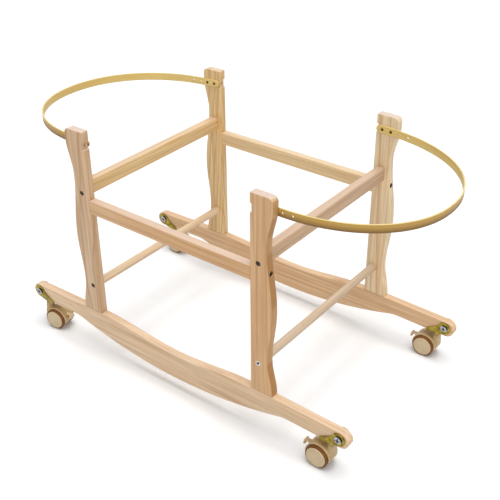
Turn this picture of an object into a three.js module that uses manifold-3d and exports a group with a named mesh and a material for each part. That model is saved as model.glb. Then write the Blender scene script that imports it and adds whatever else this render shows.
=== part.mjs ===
// Rocking stand for a moses basket: a pine frame on two curved rockers, two bent wooden hoops
// that steady the basket, and four casters that swing down under the rocker tips.
// Millimetres, +Z up. The origin is on the floor under the middle of the stand, +X runs along
// the rockers and -Y is the near side. The wheels stand on z = 0 and the stand is as wheeled
// about, with the casters folded down.
import * as THREE from "three";
import { mergeVertices } from "three/addons/utils/BufferGeometryUtils.js";
import Module from "manifold-3d";

const wasm = await Module();
wasm.setup();

// Clearances
const FIT = 0.3; // between pieces that seat on or in one another
const RUN = 0.4; // round pieces that turn

// Timber
const TIMBER = 18; // thickness of every board
const ARRIS = 1.2; // softened edge of every board
const WIDTH = 450; // over the two rockers
const POST_GAP = 415; // clear space between the left and right posts

// Rockers, with heights from the centres of their round tips
const TIP_X = 416; // middle of the stand to the centre of a tip
const TIP_RADIUS = 18;
const ROCK_RADIUS = 1030; // of the arc that the stand rocks on
const ROCK_DROP = 54.8; // lowest point of that arc
const ARM_SLOPE = 1.6; // degrees that the arm's underside falls towards its tip
const ARM_BLEND = 80; // radius between the arc and the arm
const SEAT_RISE = 22.2; // flat that a post stands on
const SEAT_MARGIN = 2.5; // flat left outside the post's foot
const SAG = 15.5; // dip of the top edge between the posts

// Posts, with heights from their feet and widths from the straight inner edge
const POST_LENGTH = 433;
const FOOT_WIDTH = 52;
const ANKLE_HEIGHT = 80;
const ANKLE_WIDTH = 40;
const BELLY_HEIGHT = 193;
const BELLY_WIDTH = 49.5;
const NECK_BELOW_TOP = 100;
const NECK_WIDTH = 36.5;
const HEAD_BELOW_TOP = 22;
const HEAD_WIDTH = 49.5;
const HEAD_RADIUS = 11; // rounded top corner
const NOTCH_DEPTH = 3.6; // groove across the inner edge, level with the hoop
const NOTCH_HEIGHT = 18;

// Rails and dowels, with levels from the posts' feet and insets from the posts' inner edges
const RAIL_HEIGHT = 30.2;
const LONG_RAIL_LEVEL = 252.5; // lower edge
const CROSS_RAIL_LEVEL = 288; // lower edge
const CROSS_RAIL_INSET = 18.5; // middle of the rail
const DOWEL_DIAMETER = 18;
const DOWEL_LEVEL = 68;
const DOWEL_INSET = 17.5;

// Hoops
const HOOP_THICKNESS = 3;
const HOOP_HEIGHT = 17;
const HOOP_BELOW_TOP = 30.6; // middle of the strip at the posts
const HOOP_END = 1.5; // end of the strip from the posts' inner edges
const HOOP_STRAIGHT = 31; // straight run along a post before the bend
const HOOP_BOW = 242; // straight run to the tip of the bow
const HOOP_POWER = 2.1; // fullness of the bow: 2 is an ellipse
const HOOP_TILT = 2.2; // degrees that the bow leans down
const HOOP_HOLE = 4.6; // diameter
const HOOP_HOLE_START = 14; // end of the strip to the first hole
const HOOP_HOLE_PITCH = 20.2;
const HOOP_HOLES = 4; // at each end

// Frame bolts, sunk into the posts and screwed into the ends of rails and dowels
const BOLT_DIAMETER = 6;
const BOLT_HEAD = 9;
const BOLT_HEAD_HEIGHT = 3.6;
const BOLT_SOCKET = 2.6; // radius of the hexagon socket
const BOLT_SOCKET_DEPTH = 2;
const BOLT_RECESS = 11; // diameter
const BOLT_SINK = 5; // depth of the recess
const BOLT_GRIP = 30; // length inside the rail or dowel
const BOLT_EDGE = 6.5; // bolt to the nearer edge of a rail

// Pivot bolts
const PIVOT_INSET = 3; // nearer the middle than the tip's centre
const PIVOT_RISE = 2; // above the tip's centre
const PIVOT_DIAMETER = 6;
const PIVOT_HEAD = 16;
const PIVOT_HEAD_HEIGHT = 3.2;
const PIVOT_HEAD_EDGE = 1.3; // height of the head's upright edge
const PIVOT_HEAD_FACE = 11.2; // diameter of the head's flat
const PIVOT_CROSS = 9; // width over the cross recess
const PIVOT_CROSS_DEPTH = 1.8;
const PIVOT_SLOT = 2; // width of the cross's arms
const PIVOT_NUT = 11.5; // across the corners
const PIVOT_NUT_HEIGHT = 5;

// Caster brackets, bent from sheet
const SHEET = 2;
const BEND_RADIUS = 3.2; // outside the bend
const EAR_RADIUS = 14.5; // round the pivot bolt
const EAR_WAIST = [4, 1]; // ear's upper edge, beyond and below the side of its round end
const EAR_HEEL = 6.4; // height of the ear's far end above the web
const EAR_TOE = 22; // pivot to where the ear's lower edge leaves the web
const WEB_FAR = 41.5; // pivot to the far end of the web

// Casters
const WHEEL_RADIUS = 25;
const WHEEL_WIDTH = 9.9;
const TYRE_DEPTH = 3.4;
const TYRE_SHOULDER = 1.3; // chamfer at the edges of the tread
const TYRE_SET_BACK = 0.6; // tyre's side behind the hubcap
const CAP_EDGE = 0.7; // chamfer round the hubcap
const CAP_CROWN = 0.9; // rise of the hubcap's middle
const AXLE_DIAMETER = 6;
const AXLE_CAP = 3; // solid hubcap over the axle's end
const HOOD_CORE = 11.7; // half width between the wheels
const HOOD_OVERHANG = 2.3; // mudguard rim over each tyre
const HOOD_WALL = 2.2;
const HOOD_FLOOR = 4; // lower edge of the hood below the axle
const HOOD_NOSE = [[3, 0], [6.5, 10], [5.5, 18]]; // front edge, from the stem and the lower edge
const HOOD_BROW = 40; // degrees above the axle where the nose meets the round top
const HOOD_CORNER = 6; // radius of the front's upright corners
const HOOD_ARRIS = 0.8;
const STEM_INSET = 18; // pivot bolt to the swivel stem
const STEM_DIAMETER = 8;
const TRAIL = 24; // stem to axle
const BOSS_RADIUS = 9.5; // round the stem
const BOSS_FOOT = 4; // lower end of the boss above the axle
const BOSS_PROUD = 7; // boss above the round top
const COLLAR_RADIUS = 7;
const COLLAR_HEIGHT = 4.1;
const REST_TURN = { near_left: 9 }; // degrees that a caster stands turned about its stem

// Brake pedals
const PEDAL_PIN_DEPTH = 4.8; // pin inside the hood's round
const PEDAL_PIN_ANGLE = 147; // degrees from the front of the axle
const PEDAL_PIN_DIAMETER = 3;
const PEDAL_EYE = 3.4; // radius
const PEDAL_NECK = 9; // width
const PEDAL_NECK_THICKNESS = 3.4;
const PEDAL_REACH = 9; // outside of the foot plate beyond the hood's round
const PEDAL_PLATE = [17, 10.5, 3]; // width, height and thickness of the foot plate
const PEDAL_PLATE_RADIUS = 3;
const PEDAL_DROP = 3; // middle of the foot plate below the pin
const PEDAL_TRAVEL = 12; // degrees

// Places that follow
const MID_Y = WIDTH / 2 - TIMBER / 2; // middle plane of a rocker
const EAR_Y = TIMBER / 2 + FIT; // inner face of an ear
const WEB_TOP = TIP_RADIUS + RUN + PIVOT_RISE; // below the pivot
const WEB_BOTTOM = WEB_TOP + SHEET;
const TIP_SWEEP = TIP_RADIUS + Math.hypot(PIVOT_INSET, PIVOT_RISE) + 2 * RUN;
const WEB_NEAR = Math.sqrt(TIP_SWEEP ** 2 - WEB_TOP ** 2); // its end passes round the tip
const WELL_RADIUS = WHEEL_RADIUS + 2 * RUN;
const HOOD_RADIUS = WELL_RADIUS + HOOD_WALL;
const BOSS_RISE = HOOD_RADIUS + BOSS_PROUD;
const STEM_RISE = BOSS_RISE + COLLAR_HEIGHT + FIT; // axle to the underside of the web
const WHEEL_INSIDE = HOOD_CORE + RUN; // middle of the caster to a wheel's inner face
const WHEEL_OUTSIDE = WHEEL_INSIDE + WHEEL_WIDTH;
const PIVOT_X = TIP_X - PIVOT_INSET;
const PIVOT_Z = WHEEL_RADIUS + STEM_RISE + WEB_BOTTOM;
const TIP_Z = PIVOT_Z - PIVOT_RISE;
const SEAT_Z = TIP_Z + SEAT_RISE;
const HOOP_LEVEL = POST_LENGTH - HOOP_BELOW_TOP;
const LONG_BOLT_LEVEL = LONG_RAIL_LEVEL + RAIL_HEIGHT - BOLT_EDGE;
const CROSS_BOLT_LEVEL = CROSS_RAIL_LEVEL + BOLT_EDGE;

const { degToRad } = THREE.MathUtils;
const vec = (x, y) => new THREE.Vector2(x, y);

const finish = (color, roughness, metalness = 0) =>
  new THREE.MeshStandardMaterial({ color, roughness, metalness });
const pine = finish(0xdcb68a, 0.6);
const paleWood = finish(0xe2cba4, 0.6);
const hoopWood = finish(0xd3ab5c, 0.5);
const yellowZinc = finish(0xb3a145, 0.35, 0.9);
const steel = finish(0xb9bcc0, 0.3, 1);
const nylon = finish(0xb59c72, 0.45);
const rubber = finish(0x7a4526, 0.7);

// A closed geometry as a solid that can be joined and cut.
function solid(geometry) {
  const bare = geometry.clone();
  bare.deleteAttribute("normal");
  bare.deleteAttribute("uv");
  const merged = mergeVertices(bare, 1e-4);
  const corners = merged.index.array;
  const kept = [];
  for (let i = 0; i < corners.length; i += 3) {
    const [a, b, c] = corners.slice(i, i + 3);
    if (a !== b && b !== c && c !== a) kept.push(a, b, c);
  }
  return new wasm.Manifold(
    new wasm.Mesh({
      numProp: 3,
      vertProperties: merged.attributes.position.array,
      triVerts: new Uint32Array(kept),
    }),
  );
}

function mesh(name, shape, material) {
  const { vertProperties, triVerts } = shape.getMesh();
  const geometry = new THREE.BufferGeometry();
  geometry.setAttribute("position", new THREE.BufferAttribute(vertProperties, 3));
  geometry.setIndex(new THREE.BufferAttribute(triVerts, 1));
  const flat = geometry.toNonIndexed();
  flat.computeVertexNormals();
  const made = new THREE.Mesh(flat, material);
  made.name = name;
  return made;
}

// An outline in the XZ plane, extruded along Y about the middle, with its edges softened.
function board(outline, thickness, arris = 0) {
  const depth = thickness - 2 * arris;
  const geometry = new THREE.ExtrudeGeometry(new THREE.Shape(outline), {
    depth,
    bevelEnabled: arris > 0,
    bevelThickness: arris,
    bevelSize: arris,
    bevelOffset: -arris,
    bevelSegments: 1,
  });
  geometry.rotateX(Math.PI / 2);
  geometry.translate(0, depth / 2, 0);
  return solid(geometry);
}

function rectangle(left, right, low, high) {
  return [vec(left, low), vec(right, low), vec(right, high), vec(left, high)];
}

function block(left, right, front, back, low, high) {
  const geometry = new THREE.BoxGeometry(right - left, back - front, high - low);
  geometry.translate((left + right) / 2, (front + back) / 2, (low + high) / 2);
  return solid(geometry);
}

// A rod along Y from one end to the other, at x and z.
function rodY(radius, from, to, x, z, sides = 16) {
  const geometry = new THREE.CylinderGeometry(radius, radius, to - from, sides);
  geometry.translate(x, (from + to) / 2, z);
  return solid(geometry);
}

function rodX(radius, from, to, y, z, sides = 16) {
  const geometry = new THREE.CylinderGeometry(radius, radius, to - from, sides);
  geometry.rotateZ(-Math.PI / 2);
  geometry.translate((from + to) / 2, y, z);
  return solid(geometry);
}

function rodZ(radius, low, high, x, sides = 20) {
  const geometry = new THREE.CylinderGeometry(radius, radius, high - low, sides);
  geometry.rotateX(Math.PI / 2);
  geometry.translate(x, 0, (low + high) / 2);
  return solid(geometry);
}

// A profile of [radius, y] turned about Y, with a flat of the polygon straight below the axis.
function turned(profile, sides) {
  const widen = 1 / Math.cos(Math.PI / sides);
  const points = profile.map(([radius, y]) => vec(radius * widen, y));
  return solid(new THREE.LatheGeometry(points, sides, Math.PI / sides));
}

function arc(centre, radius, from, to, steps) {
  return Array.from({ length: steps + 1 }, (_, i) => {
    const angle = from + ((to - from) * i) / steps;
    return vec(centre.x + radius * Math.cos(angle), centre.y + radius * Math.sin(angle));
  });
}

// Angle on a circle about the origin where a line from a point outside touches it.
function touch(point, radius, turn) {
  return Math.atan2(point.y, point.x) + turn * Math.acos(radius / point.length());
}

// Half a rocker's edge, from the lowest point round the tip to the dip of the top edge.
function rockerHalf() {
  const slope = degToRad(ARM_SLOPE);
  const tip = vec(TIP_X, TIP_Z);
  const centre = vec(0, TIP_Z - ROCK_DROP + ROCK_RADIUS);
  const down = vec(-Math.sin(slope), -Math.cos(slope));
  const inward = vec(-Math.cos(slope), Math.sin(slope));
  // The blend's centre is its radius below the arm and outside the rocking arc.
  const start = tip.clone().addScaledVector(down, TIP_RADIUS + ARM_BLEND);
  const reach = start.clone().sub(centre);
  const along = -reach.dot(inward);
  const far = ROCK_RADIUS + ARM_BLEND;
  const run = along - Math.sqrt(along ** 2 - reach.lengthSq() + far ** 2);
  const blend = start.clone().addScaledVector(inward, run);
  const leave = blend.clone().sub(centre).angle() - 2 * Math.PI;
  const meet = centre.clone().sub(blend).angle();
  const seatEnd = vec(POST_GAP / 2 + FOOT_WIDTH + SEAT_MARGIN, SEAT_Z);
  const top = touch(seatEnd.clone().sub(tip), TIP_RADIUS, -1);
  const edge = [
    ...arc(centre, ROCK_RADIUS, -Math.PI / 2, leave, 8),
    ...arc(blend, ARM_BLEND, meet, Math.PI / 2 - slope, 4).slice(1),
    ...arc(tip, TIP_RADIUS, -Math.PI / 2 - slope, top, 8),
    seatEnd,
  ];
  const dipSteps = 7;
  for (let i = 0; i <= dipSteps; i++) {
    const share = 1 - i / dipSteps;
    const dip = SAG * Math.cos((share * Math.PI) / 2) ** 2;
    edge.push(vec((share * POST_GAP) / 2, SEAT_Z - dip));
  }
  return edge;
}

function rocker() {
  const right = rockerHalf();
  const left = right
    .slice(1, -1)
    .reverse()
    .map((p) => vec(-p.x, p.y));
  let shape = board([...right, ...left], TIMBER, ARRIS);
  for (const x of [-PIVOT_X, PIVOT_X]) {
    const bore = rodY(PIVOT_DIAMETER / 2 + FIT, -TIMBER, TIMBER, x, PIVOT_Z, 12);
    shape = shape.subtract(bore);
  }
  return shape;
}

const POST_STATIONS = [
  [0, FOOT_WIDTH],
  [ANKLE_HEIGHT, ANKLE_WIDTH],
  [BELLY_HEIGHT, BELLY_WIDTH],
  [POST_LENGTH - NECK_BELOW_TOP, NECK_WIDTH],
  [POST_LENGTH - HEAD_BELOW_TOP, HEAD_WIDTH],
];

// Width of a post at a height, by half cosine waves from one station to the next.
function postWidth(height) {
  const above = POST_STATIONS.findIndex(([level]) => level > height);
  if (above < 0) return HEAD_WIDTH;
  const [low, from] = POST_STATIONS[above - 1];
  const [high, to] = POST_STATIONS[above];
  const share = (height - low) / (high - low);
  return from + ((to - from) * (1 - Math.cos(share * Math.PI))) / 2;
}

// A post in its own frame: inner edge at x = 0, outer face towards side along Y, foot at z = 0.
function post(side) {
  const stepsPerWave = 4;
  const notchLow = HOOP_LEVEL - NOTCH_HEIGHT / 2;
  const outline = [vec(0, 0)];
  for (let wave = 1; wave < POST_STATIONS.length; wave++) {
    const [low] = POST_STATIONS[wave - 1];
    const [high] = POST_STATIONS[wave];
    for (let i = 0; i < stepsPerWave; i++) {
      const height = low + ((high - low) * i) / stepsPerWave;
      outline.push(vec(postWidth(height), height));
    }
  }
  const corner = vec(HEAD_WIDTH - HEAD_RADIUS, POST_LENGTH - HEAD_RADIUS);
  outline.push(vec(HEAD_WIDTH, POST_LENGTH - HEAD_BELOW_TOP));
  outline.push(...arc(corner, HEAD_RADIUS, 0, Math.PI / 2, 4));
  outline.push(vec(0, POST_LENGTH));
  outline.push(vec(0, notchLow + NOTCH_HEIGHT));
  outline.push(vec(NOTCH_DEPTH, notchLow + NOTCH_HEIGHT));
  outline.push(vec(NOTCH_DEPTH, notchLow));
  outline.push(vec(0, notchLow));
  let shape = board(outline, TIMBER, ARRIS);

  const bore = BOLT_DIAMETER / 2 + FIT;
  const recess = BOLT_RECESS / 2;
  const floorY = side * (TIMBER / 2 - BOLT_SINK);
  const [front, back] = [floorY, side * TIMBER].sort((a, b) => a - b);
  const acrossBolts = [
    [CROSS_RAIL_INSET, CROSS_BOLT_LEVEL],
    [DOWEL_INSET, DOWEL_LEVEL],
  ];
  for (const [x, z] of acrossBolts) {
    shape = shape.subtract(rodY(bore, -TIMBER, TIMBER, x, z, 12));
    shape = shape.subtract(rodY(recess, front, back, x, z, 12));
  }
  const floorX = postWidth(LONG_BOLT_LEVEL) - BOLT_SINK;
  const beyond = 2 * BELLY_WIDTH;
  shape = shape.subtract(rodX(bore, -TIMBER, beyond, 0, LONG_BOLT_LEVEL, 12));
  return shape.subtract(rodX(recess, floorX, beyond, 0, LONG_BOLT_LEVEL, 12));
}

// A rail along X about its middle, with a bore for a bolt in each end.
function rail(length, boltHeight) {
  const outline = rectangle(-length / 2, length / 2, 0, RAIL_HEIGHT);
  const bore = BOLT_DIAMETER / 2 + FIT;
  const depth = BOLT_GRIP + FIT;
  return board(outline, TIMBER, ARRIS)
    .subtract(rodX(bore, length / 2 - depth, length, 0, boltHeight, 12))
    .subtract(rodX(bore, -length, depth - length / 2, 0, boltHeight, 12));
}

function dowel(length) {
  const bore = BOLT_DIAMETER / 2 + FIT;
  const depth = BOLT_GRIP + FIT;
  return rodY(DOWEL_DIAMETER / 2, -length / 2, length / 2, 0, 0, 18)
    .subtract(rodY(bore, length / 2 - depth, length, 0, 0, 12))
    .subtract(rodY(bore, -length, depth - length / 2, 0, 0, 12));
}

// A bolt along Y: the underside of its head at y = 0, its shank towards -Y.
function frameBolt(shank) {
  const radius = BOLT_DIAMETER / 2;
  const head = BOLT_HEAD / 2;
  const body = turned(
    [
      [0, -shank],
      [radius, -shank],
      [radius, 0],
      [head, 0],
      [head, BOLT_HEAD_HEIGHT],
      [0, BOLT_HEAD_HEIGHT],
    ],
    10,
  );
  const floor = BOLT_HEAD_HEIGHT - BOLT_SOCKET_DEPTH;
  return body.subtract(rodY(BOLT_SOCKET, floor, 2 * BOLT_HEAD_HEIGHT, 0, 0, 6));
}

// A pivot bolt along Y about the middle of the rocker, its low round head towards +Y.
function pivotBolt() {
  const seat = EAR_Y + SHEET + FIT;
  const radius = PIVOT_DIAMETER / 2;
  const head = PIVOT_HEAD / 2;
  const tail = -seat - PIVOT_NUT_HEIGHT - radius / 2;
  const body = turned(
    [
      [0, tail],
      [radius, tail],
      [radius, seat],
      [head, seat],
      [head, seat + PIVOT_HEAD_EDGE],
      [PIVOT_HEAD_FACE / 2, seat + PIVOT_HEAD_HEIGHT],
      [0, seat + PIVOT_HEAD_HEIGHT],
    ],
    12,
  );
  const nut = rodY(PIVOT_NUT / 2, -seat - PIVOT_NUT_HEIGHT, -seat, 0, 0, 6);
  const half = PIVOT_CROSS / 2;
  const arm = PIVOT_SLOT / 2;
  const floor = seat + PIVOT_HEAD_HEIGHT - PIVOT_CROSS_DEPTH;
  const end = seat + 2 * PIVOT_HEAD_HEIGHT;
  return body
    .add(nut)
    .subtract(block(-half, half, floor, end, -arm, arm))
    .subtract(block(-arm, arm, floor, end, -half, half));
}

// Points along half a hoop's middle line, from the tip of the bow to the end of the strip.
function hoopLine() {
  const reach = MID_Y - TIMBER / 2 - FIT - HOOP_THICKNESS / 2;
  const bend = POST_GAP / 2 + HOOP_END + HOOP_STRAIGHT;
  const steps = 15;
  const line = [];
  for (let i = 0; i <= steps; i++) {
    const angle = (i / steps) * (Math.PI / 2);
    const x = HOOP_BOW * Math.cos(angle) ** (2 / HOOP_POWER);
    const y = reach * Math.sin(angle) ** (2 / HOOP_POWER);
    line.push(vec(bend + x, y));
  }
  line.push(vec(bend - HOOP_STRAIGHT, reach));
  return line;
}

// A hoop at the stand's right: a flat strip on edge, bent in plan and leaning down.
function hoop() {
  const half = hoopLine();
  const front = half.slice(1).reverse();
  const line = [...front.map((p) => vec(p.x, -p.y)), ...half];
  const offset = (distance) =>
    line.map((point, i) => {
      const before = line[Math.max(i - 1, 0)];
      const after = line[Math.min(i + 1, line.length - 1)];
      const along = after.clone().sub(before).normalize();
      return vec(point.x + along.y * distance, point.y - along.x * distance);
    });
  const outside = offset(HOOP_THICKNESS / 2);
  const inside = offset(-HOOP_THICKNESS / 2);
  const geometry = new THREE.ExtrudeGeometry(
    new THREE.Shape([...outside, ...inside.reverse()]),
    { depth: HOOP_HEIGHT, bevelEnabled: false },
  );
  geometry.translate(0, 0, -HOOP_HEIGHT / 2);
  const end = POST_GAP / 2 + HOOP_END;
  const radius = HOOP_HEIGHT / 2;
  const round = arc(vec(end + radius, 0), radius, Math.PI / 2, (3 * Math.PI) / 2, 6);
  const far = end + HOOP_STRAIGHT + HOOP_BOW + HOOP_HEIGHT;
  const side = board([...round, vec(far, -radius), vec(far, radius)], WIDTH);
  let strip = solid(geometry).intersect(side);
  for (let i = 0; i < HOOP_HOLES; i++) {
    const x = end + HOOP_HOLE_START + i * HOOP_HOLE_PITCH;
    strip = strip.subtract(rodY(HOOP_HOLE / 2, -WIDTH, WIDTH, x, 0, 8));
  }
  // The lean is about the strip's middle at the posts.
  const pivot = end + HOOP_HOLE_START;
  const made = mesh("strip", strip, hoopWood).geometry;
  made.translate(-pivot, 0, 0);
  made.rotateY(degToRad(HOOP_TILT));
  made.translate(pivot, 0, 0);
  return solid(made);
}

// A section in the YZ plane, extruded towards +X from x.
function extrudeX(section, x, length) {
  const geometry = new THREE.ExtrudeGeometry(new THREE.Shape(section), {
    depth: length,
    bevelEnabled: false,
  });
  const axes = new THREE.Matrix4().makeBasis(
    new THREE.Vector3(0, 1, 0),
    new THREE.Vector3(0, 0, 1),
    new THREE.Vector3(1, 0, 0),
  );
  geometry.applyMatrix4(axes);
  geometry.translate(x, 0, 0);
  return solid(geometry);
}

// A bracket in its own frame: the pivot at the origin, the arm running towards -X.
function bracket() {
  const outside = EAR_Y + SHEET;
  const top = EAR_RADIUS + SHEET;
  const waist = vec(-EAR_RADIUS - EAR_WAIST[0], -EAR_WAIST[1]);
  const toe = vec(-EAR_TOE, -WEB_BOTTOM);
  const low = touch(toe, EAR_RADIUS, 1);
  const high = touch(waist, EAR_RADIUS, -1);
  const ear = [
    vec(-WEB_FAR, -WEB_BOTTOM),
    toe,
    ...arc(vec(0, 0), EAR_RADIUS, low, high + 2 * Math.PI, 11),
    waist,
    vec(-WEB_FAR, EAR_HEEL - WEB_TOP),
  ];
  // The bent sheet is a U, open at the top, with round outer bends.
  const bendY = outside - BEND_RADIUS;
  const bendZ = BEND_RADIUS - WEB_BOTTOM;
  const channel = [
    ...arc(vec(bendY, bendZ), BEND_RADIUS, -Math.PI / 2, 0, 3),
    vec(outside, top),
    vec(EAR_Y, top),
    vec(EAR_Y, -WEB_TOP),
    vec(-EAR_Y, -WEB_TOP),
    vec(-EAR_Y, top),
    vec(-outside, top),
    ...arc(vec(-bendY, bendZ), BEND_RADIUS, Math.PI, (3 * Math.PI) / 2, 3),
  ];
  // Past the toes the web goes on between the ears as a tongue that holds the stem.
  const tongue = block(-WEB_FAR, -WEB_NEAR, -bendY, bendY, -WEB_BOTTOM, -WEB_TOP);
  return extrudeX(channel, -WEB_FAR, WEB_FAR + 2 * EAR_RADIUS)
    .intersect(board(ear, 2 * outside))
    .add(tongue)
    .subtract(rodZ(STEM_DIAMETER / 2 + RUN, -2 * WEB_BOTTOM, 0, -STEM_INSET, 12))
    .subtract(rodY(PIVOT_DIAMETER / 2 + RUN, -2 * outside, 2 * outside, 0, 0, 12));
}

// Middle of the pedal's pin, from the axle.
const pedalPin = vec(1, 0)
  .rotateAround(vec(0, 0), degToRad(PEDAL_PIN_ANGLE))
  .multiplyScalar(HOOD_RADIUS - PEDAL_PIN_DEPTH);

// A hood in its own frame: the axle along Y through the origin, the stem at x = TRAIL.
function hood() {
  const beyond = 2 * HOOD_RADIUS;
  const nose = HOOD_NOSE.map(([x, z]) => vec(TRAIL + x, z - HOOD_FLOOR));
  const heel = Math.PI + Math.asin(HOOD_FLOOR / HOOD_RADIUS);
  const round = arc(vec(0, 0), HOOD_RADIUS, degToRad(HOOD_BROW), heel, 10);
  const rim = HOOD_CORE + HOOD_OVERHANG;
  const inside = HOOD_CORE - HOOD_WALL;
  const hollow = rodY(HOOD_RADIUS - HOOD_WALL, -inside, inside, 0, 0, 16);
  const above = block(-beyond, beyond, -beyond, beyond, 0, beyond);
  // In plan the front's corners are round.
  const front = Math.max(...nose.map((p) => p.x));
  const cornerX = front - HOOD_CORNER;
  const cornerY = rim - HOOD_CORNER;
  const corner = rodZ(HOOD_CORNER, -beyond, beyond, cornerX, 12);
  const plan = block(-beyond, cornerX, -beyond, beyond, -beyond, beyond)
    .add(block(cornerX, front, -cornerY, cornerY, -beyond, beyond))
    .add(corner.translate([0, cornerY, 0]))
    .add(corner.translate([0, -cornerY, 0]));
  let shape = board([...nose, ...round], 2 * rim, HOOD_ARRIS)
    .intersect(plan)
    .add(rodZ(BOSS_RADIUS, BOSS_FOOT, BOSS_RISE, TRAIL, 14))
    .add(rodZ(COLLAR_RADIUS, BOSS_FOOT, STEM_RISE - FIT, TRAIL, 12));
  for (const side of [-1, 1]) {
    const [from, to] = [side * HOOD_CORE, side * beyond].sort((a, b) => a - b);
    shape = shape.subtract(rodY(WELL_RADIUS, from, to, 0, 0, 20));
  }
  const slot = PEDAL_NECK / 2 + RUN;
  const drop = Math.sin(degToRad(PEDAL_TRAVEL)) * PEDAL_PIN_DEPTH * 2;
  const slotEnd = pedalPin.x + PEDAL_EYE + RUN;
  const slotLow = pedalPin.y - PEDAL_EYE - RUN - drop;
  const slotHigh = pedalPin.y + PEDAL_EYE + RUN;
  const pinEnd = slot + PEDAL_PIN_DIAMETER / 2;
  const axleEnd = WHEEL_OUTSIDE - AXLE_CAP - RUN;
  return shape
    .subtract(hollow.subtract(above))
    .subtract(block(-beyond, slotEnd, -slot, slot, slotLow, slotHigh))
    .add(rodY(PEDAL_PIN_DIAMETER / 2, -pinEnd, pinEnd, pedalPin.x, pedalPin.y, 8))
    .add(rodY(AXLE_DIAMETER / 2, -axleEnd, axleEnd, 0, 0, 12))
    .add(rodZ(STEM_DIAMETER / 2, BOSS_FOOT, STEM_RISE + SHEET, TRAIL, 12));
}

// A brake pedal in the hood's frame.
function pedal() {
  const [width, height, thickness] = PEDAL_PLATE;
  const half = PEDAL_NECK / 2;
  const outer = -HOOD_RADIUS - PEDAL_REACH;
  const inPlate = outer + thickness / 2;
  const under = pedalPin.y - PEDAL_NECK_THICKNESS / 2;
  const over = pedalPin.y + PEDAL_NECK_THICKNESS / 2;
  const radius = PEDAL_PLATE_RADIUS;
  const middle = pedalPin.y - PEDAL_DROP;
  const outline = [];
  for (let corner = 0; corner < 4; corner++) {
    const y = (width / 2 - radius) * (corner === 0 || corner === 3 ? 1 : -1);
    const z = (height / 2 - radius) * (corner < 2 ? 1 : -1);
    const from = (corner * Math.PI) / 2;
    outline.push(...arc(vec(y, middle + z), radius, from, from + Math.PI / 2, 2));
  }
  return rodY(PEDAL_EYE, -half, half, pedalPin.x, pedalPin.y, 10)
    .add(block(inPlate, pedalPin.x, -half, half, under, over))
    .add(extrudeX(outline, outer, thickness))
    .subtract(
      rodY(PEDAL_PIN_DIAMETER / 2 + RUN, -width, width, pedalPin.x, pedalPin.y, 8),
    );
}

// A wheel's tyre and hub, with the axle along Y through the origin and the hubcap at +Y.
const CAP_RADIUS = WHEEL_RADIUS - TYRE_DEPTH - FIT;
const WHEEL_SIDES = 18;

function tyre() {
  const inner = CAP_RADIUS + FIT;
  const face = WHEEL_OUTSIDE - TYRE_SET_BACK;
  return turned(
    [
      [inner, WHEEL_INSIDE],
      [WHEEL_RADIUS - TYRE_SHOULDER, WHEEL_INSIDE],
      [WHEEL_RADIUS, WHEEL_INSIDE + TYRE_SHOULDER],
      [WHEEL_RADIUS, face - TYRE_SHOULDER],
      [WHEEL_RADIUS - TYRE_SHOULDER, face],
      [inner, face],
      [inner, WHEEL_INSIDE],
    ],
    WHEEL_SIDES,
  );
}

function hub() {
  const bore = AXLE_DIAMETER / 2 + RUN;
  const floor = WHEEL_OUTSIDE - AXLE_CAP;
  return turned(
    [
      [0, floor],
      [bore, floor],
      [bore, WHEEL_INSIDE],
      [CAP_RADIUS, WHEEL_INSIDE],
      [CAP_RADIUS, WHEEL_OUTSIDE - CAP_EDGE],
      [CAP_RADIUS - CAP_EDGE, WHEEL_OUTSIDE],
      [0, WHEEL_OUTSIDE + CAP_CROWN],
    ],
    WHEEL_SIDES,
  );
}

// A caster at the right of the stand, its bracket's pivot at the group's origin.
function caster(name, outward) {
  const group = new THREE.Group();
  group.add(mesh(`bracket_${name}`, bracket(), yellowZinc));
  const swivel = new THREE.Group();
  swivel.position.set(-STEM_INSET, 0, -WEB_BOTTOM - STEM_RISE);
  swivel.rotation.z = degToRad(REST_TURN[name] ?? 0);
  const trailing = new THREE.Group();
  trailing.position.x = -TRAIL;
  trailing.add(mesh(`hood_${name}`, hood(), nylon));
  trailing.add(mesh(`pedal_${name}`, pedal(), nylon));
  for (const side of [-1, 1]) {
    const place = side === outward ? "out" : "in";
    const wheel = new THREE.Group();
    wheel.rotation.z = side > 0 ? 0 : Math.PI;
    wheel.add(mesh(`tyre_${place}_${name}`, tyre(), rubber));
    wheel.add(mesh(`hub_${place}_${name}`, hub(), nylon));
    trailing.add(wheel);
  }
  swivel.add(trailing);
  group.add(swivel);
  return group;
}

const stand = new THREE.Group();

for (const [row, y] of [["near", -MID_Y], ["far", MID_Y]]) {
  const runner = mesh(`rocker_${row}`, rocker(), pine);
  runner.position.y = y;
  const longRail = mesh(
    `rail_long_${row}`,
    rail(POST_GAP - 2 * FIT, RAIL_HEIGHT - BOLT_EDGE),
    pine,
  );
  longRail.position.set(0, y, SEAT_Z + FIT + LONG_RAIL_LEVEL);
  stand.add(runner, longRail);
}

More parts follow.
